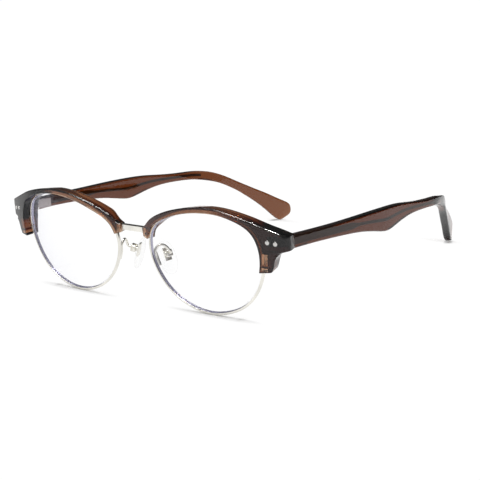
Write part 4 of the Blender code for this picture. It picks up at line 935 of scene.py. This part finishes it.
class Tree:
    """A shader tree that nodes are added to one at a time."""

    def __init__(self, holder):
        holder.use_nodes = True
        self.holder = holder
        self.tree = holder.node_tree
        self.tree.nodes.clear()

    def node(self, kind, settings=None, values=None, output=0):
        """Add a node: its settings first, then the values or links of its sockets."""
        made = self.tree.nodes.new(kind)
        for key, value in (settings or {}).items():
            setattr(made, key, value)
        for key, value in (values or {}).items():
            self.feed(made.inputs[key], value)
        return Value(self, made.outputs[output])

    def feed(self, socket, value):
        """Link a value to a socket, or set it."""
        if isinstance(value, Value):
            self.tree.links.new(value.output, socket)
        elif hasattr(value, "__len__") and socket.type == "RGBA":
            socket.default_value = (*tuple(value)[:3], 1.0)
        else:
            socket.default_value = value

    def mix(self, share, first, second):
        """A blend of two colours."""
        return self.node("ShaderNodeMix", {"data_type": "RGBA"}, {0: share, 6: first, 7: second}, 2)

    def vector(self, operation, first, second=(0.0, 0.0, 0.0)):
        """A Vector Math node."""
        output = 1 if operation in ("LENGTH", "DOT_PRODUCT") else 0
        return self.node("ShaderNodeVectorMath", {"operation": operation}, {0: first, 1: second}, output)

    def rays(self):
        """Whether the camera, a reflection or a clear surface looks on."""
        ray = self.node("ShaderNodeLightPath").output.node
        return [Value(self, ray.outputs[f"Is {kind} Ray"]) for kind in ("Camera", "Glossy", "Transmission")]

    def noise(self, scale, detail, rough, stretch=(1.0, 1.0, 1.0)):
        """Noise over the object's own coordinates, stretched along them."""
        place = self.node("ShaderNodeTexCoord", output=3)
        spread = self.node("ShaderNodeMapping", values={"Vector": place, "Scale": stretch})
        return self.node("ShaderNodeTexNoise", values={"Vector": spread, "Scale": scale, "Detail": detail,
                                                       "Roughness": rough})

    def ramp(self, value, low, high, to_low=0.0, to_high=1.0):
        """A value spread from one range to another."""
        values = {"Value": value, "From Min": low, "From Max": high, "To Min": to_low, "To Max": to_high}
        return self.node("ShaderNodeMapRange", {"clamp": True}, values)

    def bump(self, height, strength, distance):
        """A bump on the surface."""
        values = {"Height": height, "Strength": strength, "Distance": distance}
        return self.node("ShaderNodeBump", values=values)

    def finish(self, values, shown, volume=None):
        """The Principled shader with its output and the viewport's plain colour; gives the material."""
        ends = {"Surface": self.node("ShaderNodeBsdfPrincipled", values=values)}
        if volume:
            ends["Volume"] = volume
        self.close(ends)
        self.holder.diffuse_color = shown
        return self.holder

    def close(self, ends, kind="Material"):
        """The output node."""
        made = self.tree.nodes.new(f"ShaderNodeOutput{kind}")
        for key, value in ends.items():
            self.feed(made.inputs[key], value)


def acetate(name, s, density):
    """Polished crystal acetate: brown in depth, with faint cloudy streaks and polishing marks."""
    tree = Tree(bpy.data.materials.new(name))
    cloud = tree.noise(90.0, 4.0, 0.6, (1.0, 0.35, 1.0))
    streak = tree.noise(420.0, 3.0, 0.55, (1.0, 0.12, 1.0))
    smear = tree.noise(260.0, 5.0, 0.65)
    scratch = tree.noise(5200.0, 2.0, 0.5, (1.0, 0.06, 1.0))
    base = tree.mix(tree.ramp(cloud * 0.6 + streak * 0.4, 0.35, 0.65), (0.98, 0.88, 0.82), (1.0, 0.97, 0.95))
    rough = tree.ramp(smear, 0.35, 0.75, s.acetate_gloss * 0.5, s.acetate_gloss * 1.6)
    volume = {"Color": s.acetate, "Density": s.acetate_depth * density}
    height = smear * 0.7 + scratch * 0.3
    return tree.finish({"Base Color": base, "Roughness": rough, "IOR": 1.49, "Transmission Weight": 1.0,
                        "Specular IOR Level": 0.5, "Normal": tree.bump(height, 0.03, 0.0002)},
                       (0.19, 0.085, 0.06, 1.0), tree.node("ShaderNodeVolumeAbsorption", values=volume))


def satin_metal(name, s, tone, gloss, grain, inner=None):
    """Satin metal: fine grain along the wire, cloudy polish, slightly darker in the hollows of the grain.

    Where the mesh's inner attribute is set, the inner tone shows: a painted reflection of the lens edge's
    blue-violet coating and painted shade on the metal.
    """
    tree = Tree(bpy.data.materials.new(name))
    cloud = tree.noise(180.0, 3.0, 0.55)
    fine = tree.noise(grain, 3.0, 0.6, (1.0, 0.25, 1.0))
    tone = np.array(getattr(s, tone))
    base = tree.mix(tree.ramp(cloud, 0.3, 0.7), tuple(tone * (1 - METAL_WEAR)),
                    tuple(np.minimum(tone * METAL_SHINE, 1.0)))
    # Painted coating reflection and shade, mixed in where the inner attribute is set on the inner side
    if inner:
        painted_coat_mask = tree.node("ShaderNodeAttribute", {"attribute_name": "inner"}, output=2)
        base = tree.mix(painted_coat_mask * tree.ramp(cloud, 0.2, 0.6, 0.75, 1.0), base, tuple(getattr(s, inner)))
    rough = s.silver_gloss * gloss
    rough = tree.ramp(cloud * 0.5 + fine * 0.5, 0.3, 0.7, rough * 0.75, rough * 1.3)
    return tree.finish({"Base Color": base, "Metallic": 1.0, "Roughness": rough,
                        "Normal": tree.bump(fine, 0.12, 0.00005)}, (*tone, 1.0))


def coated_lens(name, s):
    """Clear coated lens: nearly invisible; towards grazing angles its blue-violet colour and opacity grow, a
    painted sheen.
    """
    tree = Tree(bpy.data.materials.new(name))
    smear = tree.noise(60.0, 4.0, 0.6)
    # Painted sheen: the facing ramp lifts the blue-violet colour and the opacity at grazing angles
    graze = tree.node("ShaderNodeLayerWeight", values={"Blend": 0.32}, output=1)
    painted_sheen = tree.mix(tree.ramp(graze, 0.0, 0.9), (0.95, 0.95, 1.0), tuple(s.lens))
    alpha = tree.ramp(graze, 0.3, 1.0, s.lens_alpha, 0.45) + smear * 0.006
    return tree.finish({"Base Color": painted_sheen, "Roughness": tree.ramp(smear, 0.3, 0.7, 0.01, 0.04), "IOR": 1.5,
                        "Alpha": alpha, "Specular IOR Level": 0.35}, (*s.lens, 0.35))


def clear_silicone(name, s):
    """Clear silicone: a soft haze with tiny darker bubbles; towards its edges, at grazing angles, it grows
    more solid, a painted sheen.
    """
    tree = Tree(bpy.data.materials.new(name))
    haze = tree.noise(700.0, 3.0, 0.5)
    graze = tree.node("ShaderNodeLayerWeight", values={"Blend": 0.4}, output=1)
    base = tree.mix(tree.ramp(haze, 0.3, 0.7), tuple(np.array(s.silicone) * 0.94), tuple(s.silicone))
    # Painted sheen: the facing ramp raises the opacity of the pale colour at grazing angles
    alpha = tree.ramp(graze, 0.2, 0.95, s.silicone_alpha, 0.28) + haze * 0.02
    return tree.finish({"Base Color": base, "Roughness": tree.ramp(haze, 0.3, 0.7, 0.12, 0.28), "IOR": 1.41,
                        "Alpha": alpha, "Normal": tree.bump(haze, 0.08, 0.0001)}, (*s.silicone, 0.6))


def settings():
    """The eyeglasses' settings."""
    return bpy.context.scene.eyeglasses


def finish_of(name):
    """The named finish, made when it is first asked for."""
    s = settings().finish
    if name in bpy.data.materials:
        return bpy.data.materials[name]
    if name in ACETATES:
        return acetate(name, s, ACETATES[name])
    if name in METALS:
        return satin_metal(name, s, *METALS[name])
    return coated_lens(name, s) if name == "coated lens" else clear_silicone(name, s)


class EYEGLASSES_OT_rims(bpy.types.Operator):
    """Make the two grooved rims."""

    bl_idname = "eyeglasses.rims"
    bl_label = "Rims"

    def execute(self, context):
        """The wire's section, carried round the lens outline and open at the split."""
        front = Front(settings())
        r = front.s.rim
        fore, back, inside = r.slim - r.depth / 2, r.depth / 2 - r.slim, r.slim - r.inside
        section = [(inside, fore), (r.outside, fore), (r.outside, back), (inside, back),
                   (inside, r.groove_half), (r.groove_floor, 0.0), (inside, -r.groove_half)]
        gap = r.split / 2 / front.total
        shares = np.linspace(front.split + gap, front.split + 1 - gap, RIM_STEPS + 1)
        rings = np.stack([front.place(front.offset(shares, reach), depth) for reach, depth in section],
                         axis=1)
        cut = [r.corner / 4, r.corner, r.corner, r.corner / 4, r.groove_ease, r.groove_ease * 2,
               r.groove_ease]
        rings = soften(rings, cut)
        # The inner side's columns, which get the painted coating reflection and shade
        inner = np.repeat([0.0, 0.0, 0.0, 1.0, 1.0, 1.0, 0.0], CORNER_STEPS)
        for made in both("grooved_rim", "rim", rings, "rim silver"):
            painted_coat_mask = made.data.attributes.new("inner", "FLOAT", "POINT")
            painted_coat_mask.data.foreach_set("value", np.tile(inner, len(rings)))
        return {"FINISHED"}


class EYEGLASSES_OT_lenses(bpy.types.Operator):
    """Make the two dished lenses."""

    bl_idname = "eyeglasses.lenses"
    bl_label = "Lenses"

    def execute(self, context):
        """Rings from the middle of the front face out, over the edge bevel and in again at the back."""
        front = Front(settings())
        eye, rim = front.s.eye, front.s.rim
        shares = np.linspace(front.split, front.split + 1, RIM_STEPS, endpoint=False)
        half = eye.thickness / 2
        middle = np.array([front.x, front.z])
        edge = front.offset(shares, -rim.inside - eye.face_inset)
        out = np.sin(np.linspace(TIP_SHARE, 1.0, LENS_ROWS) * math.pi / 2)
        rows = [(middle + (edge - middle) * share, -half) for share in out]
        rows += [(front.offset(shares, -eye.bevel), -eye.bevel_half), (front.offset(shares, 0.0), 0.0)]
        rows += [(front.offset(shares, -eye.bevel), eye.bevel_half)]
        rows += [(middle + (edge - middle) * share, half) for share in out[::-1]]
        rings = [front.place(flat, depth) for flat, depth in rows]
        both("dished_lens", "lens", rings, "coated lens")
        return {"FINISHED"}


def lug_place(front):
    """Where a lug lies: inner end, front face, outer end, bottom and top."""
    b = front.s.bridge
    height = front.z + b.rise
    edge = front.offset(front.first, front.s.brow.foot_bottom)[0][0]
    fore = front.place((edge, height), -front.s.rim.depth / 2)[0][1]
    top, low = height + b.height / 2, height - b.height / 2 - b.lug_drop
    ends = front.offset(front.share_at(low, nasal=True), front.s.rim.outside + b.lug_gap)[0][0]
    return edge + b.lug_inset, fore, ends, low, top


def closing_place(front):
    """Middle of the rim's split, and the blocks' axes: out from the rim, back, and down along it."""
    flat = front.read(front.line, front.split)[0]
    ahead = front.read(front.ahead, front.split)[0]
    axes = front.axes(flat, (-ahead[1], ahead[0]))
    if axes[2] @ np.array([ahead[0], 0.0, ahead[1]]) < 0:
        axes[2] = -axes[2]
    return front.place(flat, 0.0)[0], axes


class EYEGLASSES_OT_brows(bpy.types.Operator):
    """Make the two acetate brow pieces."""

    bl_idname = "eyeglasses.brows"
    bl_label = "Brow pieces"

    def execute(self, context):
        """The brow's sections, carried over the top of the lens outline, with the closing blocks' pocket."""
        front = Front(settings())
        r, bar = front.s.rim, front.s.bridge
        gap = r.pocket_gap
        centre, axes = closing_place(front)
        top, low = r.upper_block + r.screw_head_height + gap, r.lower_block + gap
        half, end = r.depth / 2 + gap, r.outside + r.block_width + 2 * gap
        stop, start = (r.lower_block * share for share in WINDOW_SHARES)
        boxes = [((0.0, -half, -top), (end, half, low)),
                 ((r.outside, -half - r.window, -top), (end - 2 * gap, half, stop)),
                 ((r.outside, -half - r.window - 2 * gap, start), (end, half, low))]
        pockets = [rounded_box(centre, axes, *corners, gap / 2) for corners in boxes]
        inner, fore, ends, low, top = lug_place(front)
        pockets.append(rounded_box((0.0, fore, 0.0), np.eye(3), (inner - gap, -bar.window, low - gap),
                                   (ends, bar.thickness + gap, top + gap), gap / 2))
        both("polished_brow", "brow", brow_rings(front), "brow acetate", cuts=pockets)
        return {"FINISHED"}


class EYEGLASSES_OT_closings(bpy.types.Operator):
    """Make the closing blocks at the rims' splits, with their screws."""

    bl_idname = "eyeglasses.closings"
    bl_label = "Closing blocks"

    def execute(self, context):
        """Rounded boxes either side of the split, and a slotted screw through both."""
        front = Front(settings())
        r = front.s.rim
        centre, axes = closing_place(front)
        inner = r.outside + SEAT_GAP
        outer = inner + r.block_width
        half, gap = r.depth / 2, r.split / 2
        middle = centre + axes[0] * (inner + outer) / 2
        above = SEAT_GAP + r.screw_head_height
        head = middle - axes[2] * (r.upper_block + above)
        total = above + r.upper_block + r.lower_block
        bore = round_bar(r.screw + SEAT_GAP, 0.0, total + OVERRUN, head, axes[2])
        face = middle - axes[1] * half - axes[2] * r.upper_block * SPOT_SHARE
        spot = turned([(r.spot * 2, -r.spot), (r.spot, 0.0), (r.spot / 8, r.spot * 2)], face, axes[1])
        for name, low, high, cuts in (("upper", -r.upper_block, -gap, (bore, spot)),
                                      ("lower", gap, r.lower_block, (bore,))):
            box = rounded_box(centre, axes, (inner, -half, low), (outer, half, high), r.block_soft)
            both(f"closing_block_{name}_body", f"closing_block_{name}", box, "satin silver", cuts=cuts)
        screw("slotted_closing_screw", "closing_screw", r, head, axes[2], total, axes,
              (2 * OVERRUN, r.slot, r.slot_depth))
        return {"FINISHED"}


class EYEGLASSES_OT_bridge(bpy.types.Operator):
    """Make the bridge bar and the screws through its lugs."""

    bl_idname = "eyeglasses.bridge"
    bl_label = "Bridge"

    def execute(self, context):
        """The bar's outline, drawn in at both faces by a quarter round, and the two brow screws."""
        front = Front(settings())
        b, brow, rim = front.s.bridge, front.s.brow, front.s.rim
        height = front.z + b.rise
        inner, fore, _, low, top = lug_place(front)
        shares = [front.share_at(z, nasal=True) for z in np.linspace(top, low, LUG_STEPS)]
        ends = front.offset(shares, rim.outside + b.lug_gap)
        ends[0, 1], ends[-1, 1] = top, low
        half = np.vstack([ends, [(inner, low), (inner, low + b.lug_drop)]])
        outline = np.vstack([half, half[::-1] * [-1.0, 1.0]])
        outline = soften(outline, b.soft * 2, BAR_CORNER_STEPS)
        ahead = unit(np.roll(outline, -1, axis=0) - np.roll(outline, 1, axis=0))
        inward = np.stack([ahead[:, 1], -ahead[:, 0]], axis=1)
        middle = np.array([0.0, height])
        if (inward * (middle - outline)).sum() < 0:
            inward = -inward
        depth, inset = eased(0.0, b.thickness, b.soft, BAR_EDGE_STEPS)
        flat = outline[None] + inward[None] * inset[:, None, None]
        rings = np.stack([flat[..., 0], np.broadcast_to(fore + depth[:, None], flat.shape[:2]), flat[..., 1]],
                         axis=-1)
        put("bridge_bar", "bridge", rings, finish_of("satin silver"))

        level = height - b.screw_drop
        rim_x = front.offset(front.share_at(level, nasal=True), rim.outside)[0][0]
        across = (inner + rim_x) / 2
        behind = front.place((across, level), brow.foot_back)[0][1]
        screw("slotted_brow_screw", "brow_screw", b, (across, behind, level), (0.0, -1.0, 0.0),
              behind - fore + b.screw_bite, np.eye(3), (2 * OVERRUN, b.slot_depth, b.slot))
        return {"FINISHED"}


class EYEGLASSES_OT_hinges(bpy.types.Operator):
    """Make the hinge leaves, the hinge screws and the studs."""

    bl_idname = "eyeglasses.hinges"
    bl_label = "Hinges and studs"

    def execute(self, context):
        """Rounded plates with turned knuckles, a slotted screw on the axis, and domed studs."""
        front = Front(settings())
        plan = HingePlan(front)
        h = front.s.hinge
        point, axis, axes, back = plan.point, plan.axis, plan.axes, plan.face[1]
        soft, pitch = h.knuckle_gap, h.knuckle_height + h.knuckle_gap
        knuckle, neck, leaf = h.knuckle_height / 2, h.neck_height / 2, h.leaf_height / 2
        bore = round_bar(h.screw + h.knuckle_gap / 2, -2 * pitch, 2 * pitch, point, axis)
        barrels = [round_bar(h.knuckle, -knuckle, knuckle, point + axis * level, axis, soft)
                   for level in (-pitch, 0.0, pitch)]
        reach = point[1] - plan.on_back[1] + h.neck_sunk
        necks = [rounded_box(point + axis * level, axes, (-h.neck / 2, -reach, -neck),
                             (h.neck / 2, 0.0, neck), soft / 2) for level in (-pitch, pitch)]
        plate = rounded_box(plan.on_back, plan.face, (-h.leaf_inward, -h.leaf, -leaf),
                            (h.leaf_outward, 0.0, leaf), soft)
        both("front_leaf", "front_hinge_leaf", plate, "polished steel",
             joins=[barrels[0], necks[0], barrels[2], necks[1]], cuts=[bore])

        inside = plan.inner_x - plan.x
        plate = rounded_box(point, axes, (inside, 0.0, -leaf), (inside + h.leaf, h.leaf_length, leaf), soft)
        neck = rounded_box(point, axes, (0.0, -h.neck_front, -neck), (inside + h.leaf / 2, h.neck / 2, neck),
                           soft / 2)
        both("temple_leaf", "temple_hinge_leaf", plate, "dull leaf steel", body="temple",
             joins=[barrels[1], neck], cuts=[bore])

        head = pitch + knuckle + h.knuckle_gap / 2
        top = point + axis * (head + h.screw_head_height)
        screw("slotted_hinge_screw", "hinge_screw", h, top, -axis, h.screw_head_height + 2 * head, axes,
              (2 * OVERRUN, h.slot, h.slot_depth))

        fore = -front.s.rim.depth / 2 - front.s.brow.end_lip
        behind = plan.on_back - back * (h.leaf + h.knuckle_gap)
        t = np.linspace(0.0, 1.0, DOME_STEPS)
        radius = DOME_MIDDLE_SHARE + (DOME_EDGE_SHARE - DOME_MIDDLE_SHARE) * t
        dome = np.stack([h.stud * radius, h.stud_proud * DOME_RISE_SHARE * t**2], axis=1)
        for name, inward, rise in (("outer", h.stud_edge, h.stud_rise),
                                   ("inner", h.stud_edge + h.stud_spacing, h.stud_inner_rise)):
            start = front.place((plan.edge - inward, plan.height + rise), fore - h.stud_proud)[0]
            total = (behind - start) @ back - h.knuckle_gap / 2
            profile = [*dome, (h.stud, h.stud_proud), (h.stud, h.stud_head), (h.shank, h.stud_head),
                       (h.shank, total)]
            rings = turned(profile, start, back, h.stud_proud / 3)
            both(f"domed_stud_{name}", f"stud_{name}", rings, "polished steel")
        return {"FINISHED"}


class EYEGLASSES_OT_temples(bpy.types.Operator):
    """Make the temples and their core wires."""

    bl_idname = "eyeglasses.temples"
    bl_label = "Temples"

    def execute(self, context):
        """The temple's sections along its two edges, and the core's along its middle."""
        plan = HingePlan(Front(settings()))
        both("polished_temple", "temple", temple_rings(plan), "temple acetate", "temple")
        both("core_strip", "core_wire", core_rings(plan), "dull core steel", body="temple")
        return {"FINISHED"}


class EYEGLASSES_OT_pads(bpy.types.Operator):
    """Make the nose pads with their arms, boxes, screws and inserts."""

    bl_idname = "eyeglasses.pads"
    bl_label = "Nose pads"

    def execute(self, context):
        """A superellipse swollen to a pad, a wire arm, and a slotted box with its screw."""
        front = Front(settings())
        plan = PadPlan(front)
        p = front.s.pad
        half = np.array([p.box_width, p.box_height, p.box_depth]) / 2
        axes, centre = plan.axes, plan.box_centre
        above = SEAT_GAP + p.screw_head_height
        start = plan.box + axes[0] * (p.box_width / 2 + above)
        total = above + p.box_width
        bore = round_bar(p.screw + SEAT_GAP, 0.0, total + OVERRUN, start, -axes[0])
        room = p.tab_width / 2 + p.tab_room
        slot = rounded_box(centre, axes, (-room, -p.box_height, p.slot_base - half[2]),
                           (room, p.box_height, p.box_depth), SHARP)
        both("pad_box_body", "pad_box", rounded_box(centre, axes, -half, half, p.box_soft), "bright steel",
             cuts=[slot, bore])
        screw("slotted_pad_screw", "pad_screw", p, start, -axes[0], total, axes,
              (p.slot_depth, 2 * OVERRUN, p.slot), "bright steel")

        wave, rise = superellipse(PAD_SIDES, 2 / p.squareness)
        t = np.linspace(-math.pi / 2, math.pi / 2, PAD_ROWS)
        rings = [plan.pad + axes[0] * (wave * share * p.width / 2)[:, None]
                 + axes[1] * (rise * share * p.length / 2)[:, None] + axes[2] * level * p.thickness / 2
                 for share, level in zip(np.maximum(np.cos(t), TIP_SHARE) ** PAD_ROUND_POWER, np.sin(t))]
        for made in both("soft_pad", "nose_pad", rings, "clear silicone", "pad"):
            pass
        sunk = p.standoff + p.sunk
        wide, tall = p.plate_width / 2, p.plate_length / 2
        insert = rounded_box(plan.box, axes, (-wide, -tall, sunk), (wide, tall, sunk + p.plate),
                             p.insert_soft)
        wide, tall = p.tab_width / 2, p.tab_length / 2
        tab = rounded_box(plan.box, axes, (-wide, -tall, -p.tab_reach), (wide, tall, sunk + p.plate / 2),
                          p.insert_soft)
        both("pad_insert_plate", "pad_insert", insert, "bright steel", body="pad", joins=[tab], cuts=[bore])

        heights = np.linspace(front.z - p.foot_drop, front.z + p.leg_top, LEG_STEPS)
        leg = [front.nasal_point(z) for z in heights]
        leg = front.place(leg, front.s.rim.depth / 2 + p.arm + SEAT_GAP)
        end = centre - axes[2] * (half[2] + 2 * SEAT_GAP)
        span = np.array([p.arm_bulge, (end - leg[-1])[1], p.arm_rise])
        knots = [*leg, *(leg[-1] + np.array(ARM_PATH_SHARES) * span)]
        knots += [end - axes[2] * p.arm_straight * share for share in (1.0, 0.5, 0.0)]
        total, at = spline(knots)
        rings = tube(at(np.linspace(0.0, total, WIRE_STEPS)), p.arm, (1.0, 0.0, 0.0))
        both("pad_arm_wire", "pad_arm", round_ends(rings, p.arm / 3), "bright steel")
        return {"FINISHED"}


def contact_y(front):
    """Y in the model of the rims' lowest point."""
    points = front.place(front.offset(front.share, front.s.rim.outside), 0.0)
    return float(points[np.argmin(points[:, 2]), 1] + CENTRE_SHIFT[1])


def make_floor(s):
    """A plain pale floor that keeps the shadows under the eyeglasses and glows evenly further away."""
    half = s.floor_size / 2
    mesh = bpy.data.meshes.new("floor")
    mesh.from_pydata([(-half, -half, 0.0), (half, -half, 0.0), (half, half, 0.0), (-half, half, 0.0)], [],
                     [(0, 1, 2, 3)])
    floor = add("floor", mesh)
    made = bpy.data.materials.new("pale floor")
    tree = Tree(made)
    camera, glossy, through = tree.rays()
    seen = (camera + glossy + through).least(1.0)
    place = tree.vector("ABSOLUTE", tree.node("ShaderNodeTexCoord", output=3))
    front = Front(settings())
    away = []
    for x, y, stretch in ((front.x, -contact_y(front), s.stretch), (*TIP_SPOT, 1.0)):
        off = tree.vector("MULTIPLY", tree.vector("SUBTRACT", place, (x, y, 0.0)), (stretch, 1.0, 0.0))
        away.append(tree.vector("LENGTH", off))
    share = seen * tree.ramp(away[0].least(away[1]), s.fade_start, s.fade_end, s.near, s.far)
    paint = tree.node("ShaderNodeBsdfDiffuse", values={"Color": (s.floor,) * 3})
    glow = tree.node("ShaderNodeEmission", values={"Color": (1.0, 1.0, 1.0), "Strength": s.glow})
    tree.close({"Surface": tree.node("ShaderNodeMixShader", values={0: share, 1: paint, 2: glow})})
    mesh.materials.append(made)


def make_world(s):
    """Even light all round; reflections show walls, a dusky far wall, a ceiling and a strip instead."""
    world = bpy.data.worlds.new("studio")
    bpy.context.scene.world = world
    tree = Tree(world)
    way = tree.node("ShaderNodeTexCoord", output=0)
    behind, up = (tree.node("ShaderNodeSeparateXYZ", values={0: way}, output=axis) for axis in (1, 2))
    camera, glossy, through = tree.rays()
    aim = unit(STRIP_WAY)
    along = unit(STRIP_ALONG - aim * (STRIP_ALONG @ aim))
    spread = [tree.vector("DOT_PRODUCT", way, tuple(axis))
              for axis in (aim, along * (1 / s.strip_length), np.cross(aim, along) * (1 / s.strip_width))]
    strip = tree.ramp(spread[1] * spread[1] + spread[2] * spread[2], *STRIP_EDGE_SHARES, s.strip, 0.0)
    strip = strip * tree.ramp(spread[0], *STRIP_LOW_SHARES)
    walls = tree.ramp(behind, *DUSK_SHARES, s.walls, s.dusk)
    ceiling = tree.ramp(up, *CEILING_SHARES, 0.0, s.ceiling)
    room = glossy * (walls + ceiling + strip) + (1.0 - glossy) * s.world
    seen = (camera + through).least(1.0)
    light = {"Color": (1.0, 1.0, 1.0), "Strength": seen + (1.0 - seen) * room}
    tree.close({"Surface": tree.node("ShaderNodeBackground", values=light)}, "World")


def make_lamp(s):
    """A square lamp straight overhead, of power pi^2 distance^2 times its light on the floor."""
    lamp = bpy.data.lights.new("top lamp", "AREA")
    lamp.shape = "SQUARE"
    lamp.size = s.lamp_size
    lamp.energy = s.lamp * math.pi**2 * s.lamp_distance**2
    add("top lamp", lamp).location = (0.0, 0.0, s.lamp_distance)


def make_camera(s):
    """The camera at the photograph's angle."""
    camera = bpy.data.cameras.new("camera")
    camera.sensor_width = SENSOR_WIDTH
    camera.lens = s.focal
    camera.clip_start, camera.clip_end = CAMERA_CLIP
    made = add("camera", camera)
    basis = np.eye(4)
    basis[:3, :3] = CAMERA_AXES.T
    basis[:3, 3] = CAMERA_SPOT + CENTRE_SHIFT
    made.matrix_world = Matrix(basis.tolist())
    bpy.context.scene.camera = made


class EYEGLASSES_OT_stage(bpy.types.Operator):
    """Make the floor, the lamps and the camera."""

    bl_idname = "eyeglasses.stage"
    bl_label = "Stage"

    def execute(self, context):
        """A plain pale floor that keeps the shadows, soft lamps, and the camera at the photograph's angle."""
        for make in (make_floor, make_world, make_lamp, make_camera):
            make(settings().stage)
        context.scene.view_settings.view_transform = "Standard"
        return {"FINISHED"}


class EYEGLASSES_PT_panel(bpy.types.Panel):
    """The eyeglasses' pieces and settings."""

    bl_label = "Browline Eyeglasses"
    bl_idname = "EYEGLASSES_PT_panel"
    bl_space_type = "VIEW_3D"
    bl_region_type = "UI"
    bl_category = "Eyeglasses"

    def draw(self, context):
        """A button for each piece, then every setting."""
        for operator in OPERATORS:
            self.layout.operator(operator.bl_idname)
        for name in GROUPS:
            group = getattr(context.scene.eyeglasses, name)
            box = self.layout.box()
            box.label(text=name.title())
            for field in group.__annotations__:
                box.prop(group, field, text=field.replace("_", " ").capitalize())


GROUPS = ("eye", "rim", "brow", "bridge", "hinge", "temple", "pad", "finish", "stage")
OPERATORS = (EYEGLASSES_OT_rims, EYEGLASSES_OT_lenses, EYEGLASSES_OT_brows, EYEGLASSES_OT_closings,
             EYEGLASSES_OT_bridge, EYEGLASSES_OT_hinges, EYEGLASSES_OT_temples, EYEGLASSES_OT_pads,
             EYEGLASSES_OT_stage)
CLASSES = (EyeSizes, RimSizes, BrowSizes, BridgeSizes, HingeSizes, TempleSizes, PadSizes, Finishes,
           StageSettings, Eyeglasses, *OPERATORS, EYEGLASSES_PT_panel)


def register():
    """Add the classes and the settings."""
    for made in CLASSES:
        bpy.utils.register_class(made)
    bpy.types.Scene.eyeglasses = bpy.props.PointerProperty(type=Eyeglasses)


def unregister():
    """Take the classes and the settings away."""
    del bpy.types.Scene.eyeglasses
    for made in reversed(CLASSES):
        bpy.utils.unregister_class(made)


def main():
    """Make every piece and the stage."""
    register()
    for operator in OPERATORS:
        getattr(bpy.ops.eyeglasses, operator.bl_idname.split(".")[1])()


if __name__ == "__main__":
    main()
